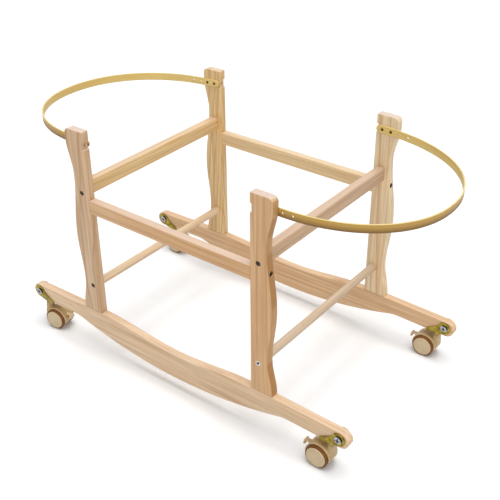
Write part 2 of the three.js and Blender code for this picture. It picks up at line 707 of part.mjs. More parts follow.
// The left half is the right half turned about Z, so its near pieces are the far ones turned.
for (const side of ["right", "left"]) {
  const half = new THREE.Group();
  half.rotation.z = side === "left" ? Math.PI : 0;
  const feet = new THREE.Group();
  feet.position.set(POST_GAP / 2, 0, SEAT_Z + FIT);
  half.add(feet);
  stand.add(half);

  const acrossLength = 2 * (MID_Y - TIMBER / 2 - FIT);
  const crossRail = mesh(`rail_cross_${side}`, rail(acrossLength, BOLT_EDGE), pine);
  crossRail.rotation.z = Math.PI / 2;
  crossRail.position.set(CROSS_RAIL_INSET, 0, CROSS_RAIL_LEVEL);
  const crossDowel = mesh(`dowel_${side}`, dowel(acrossLength), paleWood);
  crossDowel.position.set(DOWEL_INSET, 0, DOWEL_LEVEL);
  const strip = mesh(`hoop_${side}`, hoop(), hoopWood);
  strip.position.z = SEAT_Z + FIT + HOOP_LEVEL;
  feet.add(crossRail, crossDowel);
  half.add(strip);

  for (const outward of [-1, 1]) {
    const row = (outward < 0) === (side === "right") ? "near" : "far";
    const name = `${row}_${side}`;
    const y = outward * MID_Y;
    const upright = mesh(`post_${name}`, post(outward), pine);
    upright.position.y = y;

    const headY = y + outward * (TIMBER / 2 - BOLT_SINK + FIT);
    const acrossShank = TIMBER - BOLT_SINK + BOLT_GRIP;
    const crossBolt = mesh(`bolt_cross_${name}`, frameBolt(acrossShank), steel);
    crossBolt.position.set(CROSS_RAIL_INSET, headY, CROSS_BOLT_LEVEL);
    const dowelBolt = mesh(`bolt_dowel_${name}`, frameBolt(acrossShank), steel);
    dowelBolt.position.set(DOWEL_INSET, headY, DOWEL_LEVEL);
    for (const bolt of [crossBolt, dowelBolt]) bolt.rotation.z = outward > 0 ? 0 : Math.PI;

    const headX = postWidth(LONG_BOLT_LEVEL) - BOLT_SINK + FIT;
    const railBolt = mesh(`bolt_rail_${name}`, frameBolt(headX + BOLT_GRIP), steel);
    railBolt.position.set(headX, y, LONG_BOLT_LEVEL);
    railBolt.rotation.z = -Math.PI / 2;
    feet.add(upright, crossBolt, dowelBolt, railBolt);

    const wheels = caster(name, outward);
    wheels.position.set(PIVOT_X, y, PIVOT_Z);
    // Every pivot bolt's head faces the near side of the stand.
    const pivot = mesh(`bolt_pivot_${name}`, pivotBolt(), steel);
    pivot.position.set(PIVOT_X, y, PIVOT_Z);
    pivot.rotation.z = side === "left" ? 0 : Math.PI;
    half.add(wheels, pivot);
  }
}

export default stand;
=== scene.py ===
"""Looks of a pine rocking stand for a moses basket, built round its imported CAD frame."""

import math
from contextlib import contextmanager

import bmesh
import bpy
from mathutils import Matrix, Vector


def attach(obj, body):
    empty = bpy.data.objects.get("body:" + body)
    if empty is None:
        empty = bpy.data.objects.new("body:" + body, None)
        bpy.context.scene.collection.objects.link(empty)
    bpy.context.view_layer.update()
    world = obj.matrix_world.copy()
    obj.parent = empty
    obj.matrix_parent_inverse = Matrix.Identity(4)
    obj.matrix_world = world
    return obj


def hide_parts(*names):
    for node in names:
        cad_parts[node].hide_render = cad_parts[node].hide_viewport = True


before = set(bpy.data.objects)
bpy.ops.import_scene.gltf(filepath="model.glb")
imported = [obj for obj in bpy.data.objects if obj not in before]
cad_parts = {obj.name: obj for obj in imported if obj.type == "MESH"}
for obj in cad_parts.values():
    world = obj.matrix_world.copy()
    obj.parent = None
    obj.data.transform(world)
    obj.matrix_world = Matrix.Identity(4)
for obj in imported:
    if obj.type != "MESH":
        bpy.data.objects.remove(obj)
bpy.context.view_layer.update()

# Sizes in millimetres, as in the part's source.
MM = 0.001
FIT = 0.3
RUN = 0.4
TIMBER = 18
WIDTH = 450
POST_GAP = 415
TIP_X = 416
TIP_RADIUS = 18
ROCK_RADIUS = 1030
ROCK_DROP = 54.8
ARM_SLOPE = 1.6
ARM_BLEND = 80
SEAT_RISE = 22.2
SEAT_MARGIN = 2.5
SAG = 15.5
POST_LENGTH = 433
POST_STATIONS = [(0, 52), (80, 40), (193, 49.5), (333, 36.5), (411, 49.5)]
HEAD_WIDTH = 49.5
HEAD_RADIUS = 11
NOTCH_DEPTH = 3.6
NOTCH_HEIGHT = 18
RAIL_HEIGHT = 30.2
LONG_RAIL_LEVEL = 252.5
CROSS_RAIL_LEVEL = 288
CROSS_RAIL_INSET = 18.5
DOWEL_DIAMETER = 18
DOWEL_LEVEL = 68
DOWEL_INSET = 17.5
HOOP_THICKNESS = 3
HOOP_HEIGHT = 17
HOOP_BELOW_TOP = 30.6
HOOP_END = 1.5
HOOP_STRAIGHT = 31
HOOP_BOW = 242
HOOP_POWER = 2.1
HOOP_TILT = 2.2
HOOP_HOLE = 4.6
HOOP_HOLE_START = 14
HOOP_HOLE_PITCH = 20.2
HOOP_HOLES = 4
BOLT_DIAMETER = 6
BOLT_HEAD = 9
BOLT_HEAD_HEIGHT = 3.6
BOLT_SOCKET = 2.6
BOLT_RECESS = 11
BOLT_SINK = 5
BOLT_EDGE = 6.5
BOLT_GRIP = 30
PIVOT_INSET = 3
PIVOT_RISE = 2
PIVOT_DIAMETER = 6
PIVOT_HEAD = 16
PIVOT_HEAD_HEIGHT = 3.2
PIVOT_HEAD_EDGE = 1.3
PIVOT_CROSS = 9
PIVOT_CROSS_DEPTH = 1.8
PIVOT_SLOT = 2
PIVOT_NUT = 11.5
PIVOT_NUT_HEIGHT = 5
SHEET = 2
BEND_RADIUS = 3.2
EAR_RADIUS = 14.5
EAR_WAIST = (4, 1)
EAR_HEEL = 6.4
EAR_TOE = 22
WEB_FAR = 41.5
WHEEL_RADIUS = 25
WHEEL_WIDTH = 9.9
TYRE_DEPTH = 3.4
TYRE_SET_BACK = 0.6
CAP_CROWN = 0.9
AXLE_DIAMETER = 6
AXLE_CAP = 3
HOOD_CORE = 11.7
HOOD_OVERHANG = 2.3
HOOD_WALL = 2.2
HOOD_FLOOR = 4
HOOD_NOSE = [(3, 0), (6.5, 10), (5.5, 18)]
HOOD_CORNER = 6
HOOD_BROW = 40
STEM_INSET = 18
STEM_DIAMETER = 8
TRAIL = 24
BOSS_RADIUS = 9.5
BOSS_FOOT = 4
BOSS_PROUD = 7
COLLAR_RADIUS = 7
COLLAR_HEIGHT = 4.1
PEDAL_PIN_DEPTH = 4.8
PEDAL_PIN_ANGLE = 147
PEDAL_PIN_DIAMETER = 3
PEDAL_EYE = 3.4
PEDAL_NECK = 9
PEDAL_NECK_THICKNESS = 3.4
PEDAL_REACH = 9
PEDAL_PLATE = (17, 10.5, 3)
PEDAL_DROP = 3
PEDAL_TRAVEL = 12
REST_TURN = {"near_left": 9}

# Sizes that follow from those above.
MID_Y = WIDTH / 2 - TIMBER / 2
BETWEEN = 2 * (MID_Y - TIMBER / 2 - FIT)
EAR_Y = TIMBER / 2 + FIT
WEB_TOP = TIP_RADIUS + RUN + PIVOT_RISE
WEB_BOTTOM = WEB_TOP + SHEET
TIP_SWEEP = TIP_RADIUS + math.hypot(PIVOT_INSET, PIVOT_RISE) + 2 * RUN
WEB_NEAR = math.sqrt(TIP_SWEEP**2 - WEB_TOP**2)
WELL_RADIUS = WHEEL_RADIUS + 2 * RUN
HOOD_RADIUS = WELL_RADIUS + HOOD_WALL
BOSS_RISE = HOOD_RADIUS + BOSS_PROUD
STEM_RISE = BOSS_RISE + COLLAR_HEIGHT + FIT
WHEEL_INSIDE = HOOD_CORE + RUN
WHEEL_OUTSIDE = WHEEL_INSIDE + WHEEL_WIDTH
CAP_RADIUS = WHEEL_RADIUS - TYRE_DEPTH - FIT
PIVOT_X = TIP_X - PIVOT_INSET
PIVOT_Z = WHEEL_RADIUS + STEM_RISE + WEB_BOTTOM
TIP_Z = PIVOT_Z - PIVOT_RISE
SEAT_Z = TIP_Z + SEAT_RISE
FEET_Z = SEAT_Z + FIT
LONG_BOLT_LEVEL = LONG_RAIL_LEVEL + RAIL_HEIGHT - BOLT_EDGE
CROSS_BOLT_LEVEL = CROSS_RAIL_LEVEL + BOLT_EDGE
HOOP_LEVEL = POST_LENGTH - HOOP_BELOW_TOP
HOOP_BEND_X = POST_GAP / 2 + HOOP_END + HOOP_STRAIGHT
HOOP_END_X = HOOP_BEND_X - HOOP_STRAIGHT
HOOP_REACH = MID_Y - TIMBER / 2 - FIT - HOOP_THICKNESS / 2
PIN_X = (HOOD_RADIUS - PEDAL_PIN_DEPTH) * math.cos(math.radians(PEDAL_PIN_ANGLE))
PIN_Z = (HOOD_RADIUS - PEDAL_PIN_DEPTH) * math.sin(math.radians(PEDAL_PIN_ANGLE))

# Sizes that only the look has, in millimetres and degrees.
FAR = 99  # the end of a cut that goes right through
BEVEL_LIMIT = 35
SHARP_EDGE = 32
ARRIS = 1.4
PILOT_RADIUS = 2.2
PILOT_DEPTH = 11
DOWEL_ARRIS = 0.5
HOOP_ARRIS = 0.5
SCREW_RADIUS = 3.3
SCREW_RISE = 0.9
SCREW_SINK = 0.8
SCREW_CROSS = (1.9, 0.4)
SCREW_FLOOR = 0.25
SCREW_TURNS = (25, 65)
# This bolt's head and ring are steel painted bright as a glint.
BRIGHT_BOLT = "bolt_dowel_near_right"  # the one that shines
BOLT_TIP = 0.6
BOLT_ARRIS = 0.5
SOCKET_DEPTH = 2
SOCKET_GROWTH = 0.8  # in the bright bolt
SHADE_PIECE_DEPTH = 0.3  # of a socket's dark disc, below the socket's floor
SHADE_PIECE_RISE = 0.1  # above it
RECESS_GAP = 0.02
RECESS_SKIN = 0.3
SHADOW_RING_SET_BACK = 1.0  # of the ring in a recess, behind the post's face
RING_SET_BACK = 0.4
PIVOT_TIP = 0.5
CROSS_GROWTH = 0.7
SLOT_GROWTH = 0.3
CROSS_RISE = 0.08
NUT_ARRIS = 0.4
HEEL_ROUND = 1.6
WAIST_ROUND = 3.0
BOSS_FLARE = 6
FLARE_DROP = 5
BOSS_ROUND = 2
LIP = 2.2
LIP_PROUD = 0.12
HOOD_VOXEL = 0.55
HOOD_SMOOTHING = 12
HOOD_KEPT = 0.35
HOOD_SHARP = 50
STEM_FOOT = BOSS_FOOT + 8
PLATE_CORNER = 3.5
PLATE_ARRIS = 0.9
NECK_ARRIS = 0.6
TYRE_STEP = 1.5  # tread behind the solid tyre's side
TREAD_ROUND = 1.8
# The cap's rim, from its edge and from the wheel's outer side.
CAP_RIM = [(0, -0.9), (0.25, -0.35), (0.9, 0), (2.6, 0.1), (3.0, -0.15), (3.4, 0.1)]

# Stage, lamps and camera, in metres and degrees.
KEY_LAMP = {"energy": 2.2, "angle": 44, "direction": (-0.05, -0.05, -1)}
FILL_LAMP = {"energy": 0.86, "angle": 90, "direction": (-0.75, 0.78, -0.5)}
WORLD_STRENGTH = 0.25
FLOOR_HALF = 12
FLOOR_COLOR = (1.0, 1.014, 1.028, 1)
FLOOR_GLOW = 0.045
FLOOR_BOUNCE = 0.8
CAMERA_PLACE = (1.0062, -1.2650, 1.2216)
CAMERA_TURN = (-37.503, 31.32, -0.371)  # yaw, pitch and roll
CAMERA_LENS = 62.18
CAMERA_SENSOR = 36


# Mesh tools. Everything is modelled in millimetres and brought to metres by place().


def linked(name, data):
    obj = bpy.data.objects.new(name, data)
    bpy.context.scene.collection.objects.link(obj)
    return obj


def copy(obj, name):
    return linked(name, obj.data.copy())


def piece(name, verts, faces):
    mesh = bpy.data.meshes.new(name)
    mesh.from_pydata([tuple(v) for v in verts], [], faces)
    mesh.validate()
    return linked(name, mesh)


@contextmanager
def edited(obj):
    """The object's mesh as a bmesh, written back at the end of the block."""
    bm = bmesh.new()
    bm.from_mesh(obj.data)
    yield bm
    bm.to_mesh(obj.data)
    bm.free()


def solid(name, verts, faces):
    """A closed mesh with all its faces turned outward."""
    obj = piece(name, verts, faces)
    with edited(obj) as bm:
        bmesh.ops.recalc_face_normals(bm, faces=bm.faces)
    return obj


def modify(obj, kind, **settings):
    mod = obj.modifiers.new(kind.lower(), kind)
    for key, value in settings.items():
        setattr(mod, key, value)


def apply_modifiers(obj):
    bpy.context.view_layer.update()
    graph = bpy.context.evaluated_depsgraph_get()
    mesh = bpy.data.meshes.new_from_object(obj.evaluated_get(graph))
    old = obj.data
    obj.modifiers.clear()
    obj.data = mesh
    bpy.data.meshes.remove(old)
    return obj


def combine(obj, other, operation):
    """obj joined with, cut by or kept inside another closed mesh, which is used up."""
    modify(obj, "BOOLEAN", operation=operation, solver="EXACT", object=other)
    apply_modifiers(obj)
    bpy.data.objects.remove(other)
    return obj


def cut(obj, *tools):
    for tool in tools:
        combine(obj, tool, "DIFFERENCE")
    return obj


def bevel(obj, width, segments=3):
    limit = math.radians(BEVEL_LIMIT)
    modify(obj, "BEVEL", width=width, segments=segments, limit_method="ANGLE", angle_limit=limit,
           miter_outer="MITER_ARC")
    return apply_modifiers(obj)


def shade(obj, angle=SHARP_EDGE):
    """Smooth shading, with the edges sharper than the angle kept sharp."""
    limit = math.radians(angle)
    with edited(obj) as bm:
        for face in bm.faces:
            face.smooth = True
        for edge in bm.edges:
            edge.smooth = len(edge.link_faces) == 2 and edge.calc_face_angle(0) < limit
    return obj


def place(obj, matrix):
    obj.data.transform(Matrix.Scale(MM, 4) @ matrix)
    obj.data.update()
    return obj


def at(x, y, z):
    return Matrix.Translation((x, y, z))


def about_z(degrees):
    return Matrix.Rotation(math.radians(degrees), 4, "Z")


def arc(cx, cz, radius, start, end, steps):
    angles = [start + (end - start) * i / steps for i in range(steps + 1)]
    return [(cx + radius * math.cos(a), cz + radius * math.sin(a)) for a in angles]


def touch(x, z, radius, turn):
    """Angle on a circle about the origin where a line from a point outside touches it."""
    return math.atan2(z, x) + turn * math.acos(radius / math.hypot(x, z))


def round_corners(profile, radius, steps):
    """An open profile of points with each inner corner rounded off."""
    made = [profile[0]]
    for before, here, after in zip(profile, profile[1:], profile[2:]):
        p, a, b = Vector(here), Vector(before) - Vector(here), Vector(after) - Vector(here)
        size = min(radius, a.length * 0.45, b.length * 0.45)
        start, end = p + a.normalized() * size, p + b.normalized() * size
        for i in range(steps + 1):
            t = i / steps
            made.append(tuple((1 - t) ** 2 * start + 2 * t * (1 - t) * p + t**2 * end))
    made.append(profile[-1])
    return made


def slab(outline, low, high, axis="Y", name="tool"):
    """An outline in the plane across an axis, extruded along it from low to high."""
    count = len(outline)
    verts = [{"X": (level, a, b), "Y": (a, level, b), "Z": (a, b, level)}[axis]
             for level in (low, high) for a, b in outline]
    faces = [tuple(range(count)), tuple(range(2 * count - 1, count - 1, -1))]
    for i in range(count):
        j = (i + 1) % count
        faces.append((j, i, count + i, count + j))
    return solid(name, verts, faces)


def rod(radius, low, high, centre=(0, 0), axis="Y", sides=48, name="tool"):
    """A round rod along an axis, centred on the two other coordinates."""
    return slab(arc(*centre, radius, 0, 2 * math.pi, sides)[:-1], low, high, axis, name)


def box(low, high, name="tool"):
    xs, ys, zs = zip(low, high)
    corners = [(xs[0], zs[0]), (xs[1], zs[0]), (xs[1], zs[1]), (xs[0], zs[1])]
    return slab(corners, *ys, name=name)


def turned(profile, sides, name="tool"):
    """A closed profile of (radius, y) turned about Y. Points at radius 0 become one vertex."""
    verts, rings = [], []
    for radius, y in profile:
        ring = [(0, y, 0)]
        if radius > 0:
            ring = [(x, y, z) for x, z in arc(0, 0, radius, 0, 2 * math.pi, sides)[:-1]]
        rings.append(range(len(verts), len(verts) + len(ring)))
        verts += ring
    pairs = list(zip(rings, rings[1:]))
    if len(rings[0]) > 1 and len(rings[-1]) > 1:
        pairs.append((rings[-1], rings[0]))
    faces = []
    for a, b in pairs:
        for i in range(sides):
            j = (i + 1) % sides
            if len(a) == 1 and len(b) > 1:
                faces.append((a[0], b[i], b[j]))
            elif len(b) == 1 and len(a) > 1:
                faces.append((a[i], b[0], a[j]))
            elif len(a) > 1:
                faces.append((a[i], b[i], b[j], a[j]))
    return solid(name, verts, faces)


# Materials


def linear(red, green, blue):
    """A colour written as 0 to 255 values of a screen, as the shader's linear values."""
    values = []
    for value in (red, green, blue):
        s = value / 255
        values.append(s / 12.92 if s <= 0.04045 else ((s + 0.055) / 1.055) ** 2.4)
    return (*values, 1)


def grey(value):
    return (value, value, value, 1)


PINE = ((254, 234, 200), (250, 214, 174), (190, 142, 94))
WARM_PINE = ((252, 224, 182), (246, 202, 154), (186, 132, 82))
RAIL_PINE = ((254, 234, 188), (254, 222, 168), (202, 154, 100))
TAN_PINE = ((252, 216, 166), (234, 184, 130), (182, 126, 74))
DUSKY_PINE = ((236, 204, 166), (210, 172, 133), (162, 117, 79))
GOLDEN_PINE = ((254, 232, 178), (252, 212, 146), (192, 138, 70))
ASHEN_PINE = ((250, 224, 188), (232, 194, 150), (174, 124, 80))
CREAM_PINE = ((255, 242, 206), (255, 228, 184), (206, 152, 98))
PALE_DOWEL = ((250, 230, 198), (238, 208, 170), (204, 166, 122))
DUSKY_DOWEL = ((240, 218, 192), (218, 194, 164), (178, 146, 112))
HOOP_WOOD = ((255, 226, 142), (204, 160, 74), (164, 120, 44))
# Painted highlight and painted shade for a hoop's edges.
HOOP_PAINTED_HIGHLIGHT = linear(254, 230, 158)
HOOP_PAINTED_SHADE = linear(112, 74, 34)
# Brown of a sawn edge, also used as painted shade where that edge turns down.
SAWN_BROWN_AND_SHADE = linear(176, 124, 58)
# Painted sheen: the colour that upper faces turn towards, as if lit from above.
PAINTED_TOP_SHEEN = linear(230, 211, 198)
LATE_WOOD = [(0.0, grey(0)), (0.5, grey(0.05)), (0.74, grey(0.3)), (0.9, grey(1)), (1.0, grey(0))]
WOOD_ROUGHNESS = 0.52
NOISE_RANGE = (0.3, 0.7)
# The side where a plated head gets its painted dark reflection.
DARK_REFLECTION_SIDE = (0.64, 0, 0.77)

# The growth rings in metres and degrees: the pith's distance from the piece's middle and its lean,
# then how far the rings sway and waver. The brown edge, with its painted shade, fades out below
# SAWN_TOP, in millimetres.
PITH_NEAR = 0.035
PITH_SPREAD = 0.05
PITH_LEAN = 2.2
RING_SWAY = 0.024
RING_WAVER = 0.004
SAWN_TOP = 536
SAWN_FADE = 10

# Each wood's palette and ring spacing in mm, then how far its figure wanders, how clear its rings
# and its clouds are, how strong the painted sheen on its upper face is, and how brown its curved
# outer edge is, with painted shade where that edge turns down.
WOODS = {
    "rocker_near": (PINE, 15, 1.8, 0.5, 1.0, 0.15, 0),
    "rocker_far": (WARM_PINE, 15, 1.8, 0.5, 1.0, 0.15, 0),
    "rail_long_near": (TAN_PINE, 12, 0.9, 0.4, 0.9, 0.6, 0),
    "rail_long_far": (RAIL_PINE, 11, 0.9, 0.6, 0.6, 0.3, 0),
    "rail_cross_left": (GOLDEN_PINE, 10, 0.9, 0.5, 0.7, 0.4, 0),
    "rail_cross_right": (DUSKY_PINE, 10, 0.7, 0.4, 0.7, 0.35, 0),
    "post_near_left": (ASHEN_PINE, 17, 2.6, 0.8, 0.9, 0.8, 0.1),
    "post_far_left": (GOLDEN_PINE, 7.5, 0.8, 1.0, 0.5, 0.5, 0),
    "post_near_right": (TAN_PINE, 10, 0.6, 0.5, 0.8, 0.8, 0.95),
    "post_far_right": (CREAM_PINE, 9, 0.9, 1.0, 0.4, 0.8, 0),
    "dowel_left": (PALE_DOWEL, 9, 0.5, 0.3, 0.6, 0, 0),
    "dowel_right": (DUSKY_DOWEL, 9, 0.5, 0.3, 0.6, 0, 0),
}


class Tree:
    """The node tree of a material or world, with short calls for the nodes used here."""

    def __init__(self, owner):
        owner.use_nodes = True
        self.nodes = owner.node_tree.nodes
        self.links = owner.node_tree.links

    def node(self, kind, inputs=None, **settings):
        made = self.nodes.new(kind)
        for key, value in settings.items():
            setattr(made, key, value)
        for key, value in (inputs or {}).items():
            self.feed(made.inputs[key], value)
        return made

    def feed(self, socket, value):
        if isinstance(value, bpy.types.NodeSocket):
            self.links.new(value, socket)
        else:
            socket.default_value = value

    def maths(self, operation, a, b=0.0):
        return self.node("ShaderNodeMath", {0: a, 1: b}, operation=operation).outputs[0]

    def vector(self, operation, *values, output="Vector"):
        inputs = dict(enumerate(values))
        return self.node("ShaderNodeVectorMath", inputs, operation=operation).outputs[output]

    def component(self, vector, axis):
        return self.node("ShaderNodeSeparateXYZ", {"Vector": vector}).outputs[axis]

    def span(self, value, start, end, high=1.0, low=0.0):
        """A value from low to high, as another goes from start to end."""
        inputs = {"Value": value, "From Min": start, "From Max": end, "To Min": low, "To Max": high}
        return self.node("ShaderNodeMapRange", inputs).outputs[0]

    def seen(self):
        """1 for rays that show a surface straight, in a mirror or through glass, 0 for others."""
        rays = self.node("ShaderNodeLightPath").outputs
        total = self.maths("ADD", rays["Is Camera Ray"], rays["Is Glossy Ray"])
        return self.maths("ADD", total, rays["Is Transmission Ray"])


class Shader(Tree):
    """A material of one principled shader."""

    def __init__(self, name, **settings):
        self.material = bpy.data.materials.new(name)
        super().__init__(self.material)
        self.bsdf = self.nodes["Principled BSDF"]
        for key, value in settings.items():
            self.bsdf.inputs[key.replace("_", " ")].default_value = value

    def coords(self):
        return self.node("ShaderNodeTexCoord").outputs["Object"]

    def normal(self):
        return self.node("ShaderNodeNewGeometry").outputs["Normal"]

    def mapped(self, vector, scale=(1, 1, 1), shift=(0, 0, 0), turn=(0, 0, 0)):
        inputs = {"Vector": vector, "Scale": scale, "Location": shift, "Rotation": turn}
        return self.node("ShaderNodeMapping", inputs).outputs[0]

    def noise(self, vector, detail=3.0, roughness=0.55):
        inputs = {"Vector": vector, "Scale": 1.0, "Detail": detail, "Roughness": roughness}
        return self.node("ShaderNodeTexNoise", inputs).outputs["Fac"]

    def even_noise(self, scale, detail=3.0):
        return self.noise(self.mapped(self.coords(), (scale,) * 3), detail)

    def scaled(self, noise, low, high):
        """The range that a noise mostly keeps to, brought to low and high."""
        return self.span(noise, *NOISE_RANGE, high, low)

    def ramp(self, value, stops):
        made = self.node("ShaderNodeValToRGB", {"Fac": value})
        elements = made.color_ramp.elements
        while len(elements) < len(stops):
            elements.new(0.5)
        for element, (position, color) in zip(elements, stops):
            element.position = position
            element.color = color
        return made.outputs["Color"]

    def layers(self, color, *layers):
        """A colour with others laid over it, each by its own factor."""
        for factor, over in layers:
            made = self.node("ShaderNodeMix", {0: factor}, data_type="RGBA")
            self.feed(made.inputs[6], color)
            self.feed(made.inputs[7], over)
            color = made.outputs[2]
        return color

    def blotched(self, noise, base, tint):
        """Two screen colours mixed by a noise."""
        return self.layers(linear(*base), (self.scaled(noise, 0.0, 1.0), linear(*tint)))

    def bump(self, height, strength, distance):
        inputs = {"Height": height, "Strength": strength, "Distance": distance}
        return self.node("ShaderNodeBump", inputs).outputs[0]

    def finish(self, color, normal, roughness=None):
        self.feed(self.bsdf.inputs["Base Color"], color)
        self.feed(self.bsdf.inputs["Normal"], normal)
        if roughness is not None:
            self.feed(self.bsdf.inputs["Roughness"], roughness)
        return self.material


def late_wood(made, stretched, axis, seed, centre, period, figure):
    """How late a ring's wood is, by rings round a pith that lies beside the piece and leans."""
    across = [i for i in range(3) if i != axis]
    bearing, distance = seed * 2.4, PITH_NEAR + PITH_SPREAD * (seed * 0.618 % 1)
    pith, lean, flat = list(centre), [0.0] * 3, [1.0] * 3
    pith[across[0]] += distance * math.cos(bearing)
    pith[across[1]] += distance * math.sin(bearing)
    lean[across[0]] = math.radians(PITH_LEAN) * math.sin(seed * 1.7)
    lean[across[1]] = math.radians(PITH_LEAN) * math.cos(seed * 2.9)
    flat[axis] = 0.0
    offset = made.vector("SUBTRACT", made.coords(), tuple(pith))
    tilted = made.mapped(offset, turn=tuple(lean))
    radius = made.vector("LENGTH", made.vector("MULTIPLY", tilted, tuple(flat)), output="Value")
    sway = made.noise(stretched(12, 2.4), detail=2, roughness=0.5)
    waver = made.noise(stretched(70, 7), detail=2, roughness=0.5)
    radius = made.maths("ADD", radius, made.maths("MULTIPLY", sway, RING_SWAY * figure))
    radius = made.maths("ADD", radius, made.maths("MULTIPLY", waver, RING_WAVER))
    return made.ramp(made.maths("FRACT", made.maths("DIVIDE", radius, period * MM)), LATE_WOOD)


def sawn_edge_and_shade(made):
    """Where a post's waved outer edge is brown from its sawn grain, most where it turns up and none
    at its top, with painted shade where it turns down.
    """
    normal = made.normal()
    rise = made.component(normal, "Z")
    side = made.span(made.maths("ABSOLUTE", made.component(normal, "X")), 0.7, 0.85)
    height = made.component(made.coords(), "Z")
    below = made.span(height, SAWN_TOP * MM, (SAWN_TOP - SAWN_FADE) * MM)
    # Turning up: brown of the sawn grain. Turning down, under the head: painted shade.
    turning = made.maths("ADD", made.span(rise, 0.03, 0.12), made.span(rise, -0.14, -0.24, 0.6))
    wedge = made.maths("MULTIPLY", made.maths("ADD", turning, 0.66), below)
    return made.maths("MULTIPLY", side, wedge)


def wood(name, along, seed, centre, palette, period, figure, line, cloud, top_sheen, sawn_and_shade):
    """Planed softwood: growth rings with darker late wood, clouds, streaks, fibres and pores, a
    painted sheen that makes upper faces paler and, on posts, a brown sawn edge with painted shade
    where it turns down.
    """
    made = Shader(name, Roughness=WOOD_ROUGHNESS, Specular_IOR_Level=0.62)
    light, mid, dark = (linear(*color) for color in palette)
    axis = "XYZ".index(along)

    def stretched(wide, length):
        """Noise space with so many cycles a metre across and along the grain."""
        scale = [wide] * 3
        scale[axis] = length
        return made.mapped(made.coords(), tuple(scale), (seed * 3.7, seed * 1.9, seed * 5.3))

    late = late_wood(made, stretched, axis, seed, centre, period, figure)
    depth = made.noise(stretched(40, 2), detail=2)
    broad = made.noise(stretched(30, 1.4))
    patches = made.noise(stretched(34, 7), roughness=0.6)
    streaks = made.noise(stretched(150, 3.5), roughness=0.6)
    fine = made.noise(stretched(420, 9), roughness=0.6)
    pores = made.noise(stretched(1500, 50), detail=2, roughness=0.6)
    band = made.maths("MULTIPLY", late, made.scaled(depth, 0.25, 1.0))
    color = made.layers(
        light,
        (made.scaled(broad, 0.0, 0.8), mid),
        (made.scaled(patches, 0.0, 0.5 * cloud), mid),
        (made.scaled(patches, 0.0, 0.16 * cloud), dark),
        (made.maths("MULTIPLY", band, 0.9 * line), dark),
        (made.scaled(streaks, -0.2, 0.54), dark),
        (made.scaled(fine, 0.0, 0.2), dark),
        (made.scaled(pores, 0.0, 0.1), dark),
        # Painted sheen: upper faces paler.
        (made.span(made.component(made.normal(), "Z"), 0.45, 0.9, top_sheen), PAINTED_TOP_SHEEN),
    )
    # The sawn edge's brown, with painted shade where the edge turns down.
    if sawn_and_shade:
        color = made.layers(color, (made.maths("MULTIPLY", sawn_edge_and_shade(made), sawn_and_shade), SAWN_BROWN_AND_SHADE))
    bump = made.bump(made.maths("ADD", fine, pores), 0.22, 0.0004)
    return made.finish(color, bump, made.scaled(fine, WOOD_ROUGHNESS - 0.06, WOOD_ROUGHNESS + 0.08))


def hoop_wood(name, seed, middle):
    """Bent strip: pale inside and weathered outside, with a painted highlight on its top edge and
    painted shade on its underside and towards the lower edge of its outer face.
    """
    made = Shader(name, Roughness=0.46, Specular_IOR_Level=0.45)
    light, mid, dark = (linear(*color) for color in HOOP_WOOD)
    grain = made.node("ShaderNodeUVMap", uv_map="grain").outputs[0]

    def stretched(length, across):
        return made.mapped(grain, (length, across, 1), (seed, seed * 2.3, 0))

    broad = made.noise(stretched(5, 60))
    fine = made.noise(stretched(14, 900), roughness=0.6)
    ply = made.noise(stretched(2.5, 260), detail=2)
    normal = made.normal()
    rise = made.component(normal, "Z")
    spoke = made.vector("NORMALIZE", made.vector("SUBTRACT", made.coords(), middle))
    facing = made.vector("DOT_PRODUCT", spoke, normal, output="Value")
    outer = made.span(facing, -0.2, 0.2)
    # Painted shade, growing towards the strip's lower edge.
    low_shade = made.span(made.component(grain, "Y"), 0.003, -0.0075, 0.95)
    color = made.layers(
        light,
        (made.maths("MULTIPLY", outer, 0.9), mid),
        (made.scaled(broad, 0.0, 0.24), mid),
        (made.scaled(ply, 0.0, 0.2), mid),
        # Painted shade towards the lower edge of the outer face.
        (made.maths("MULTIPLY", low_shade, outer), HOOP_PAINTED_SHADE),
        # Painted highlight on the upper edge.
        (made.span(rise, 0.25, 0.6), HOOP_PAINTED_HIGHLIGHT),
        # Painted shade on the underside.
        (made.span(rise, -0.2, -0.5), HOOP_PAINTED_SHADE),
        (made.scaled(fine, 0.0, 0.28), dark),
    )
    return made.finish(color, made.bump(fine, 0.2, 0.0003), made.scaled(broad, 0.4, 0.54))


def metal(name, base, tint, roughness, spread=90):
    made = Shader(name, Metallic=1.0, Roughness=roughness)
    blotch, grain = made.even_noise(spread, detail=4), made.even_noise(600, detail=2)
    rough = made.scaled(grain, roughness - 0.07, roughness + 0.1)
    return made.finish(made.blotched(blotch, base, tint), made.bump(grain, 0.08, 0.0002), rough)


def plated(name, base, tint, dark):
    """Bright plating, with a painted dark reflection where the surface turns up and to the right.
    """
    made = Shader(name, Metallic=1.0, Roughness=0.24)
    blotch = made.even_noise(260, detail=4)
    turned_up = made.vector("DOT_PRODUCT", made.normal(), DARK_REFLECTION_SIDE, output="Value")
    # Painted dark reflection where the head turns up and to the right.
    dark_reflection = made.span(turned_up, 0.3, 0.5)
    color = made.layers(made.blotched(blotch, base, tint), (dark_reflection, linear(*dark)))
    return made.finish(color, made.bump(blotch, 0.06, 0.0002))


def plastic(name, base, tint, roughness, sheen=0.45):
    made = Shader(name, Roughness=roughness, Specular_IOR_Level=sheen)
    cloud, grain = made.even_noise(45), made.even_noise(900, detail=2)
    rough = made.scaled(cloud, roughness - 0.05, roughness + 0.08)
    return made.finish(made.blotched(cloud, base, tint), made.bump(grain, 0.1, 0.0002), rough)


STEEL = metal("steel", (206, 206, 204), (150, 150, 148), 0.3)
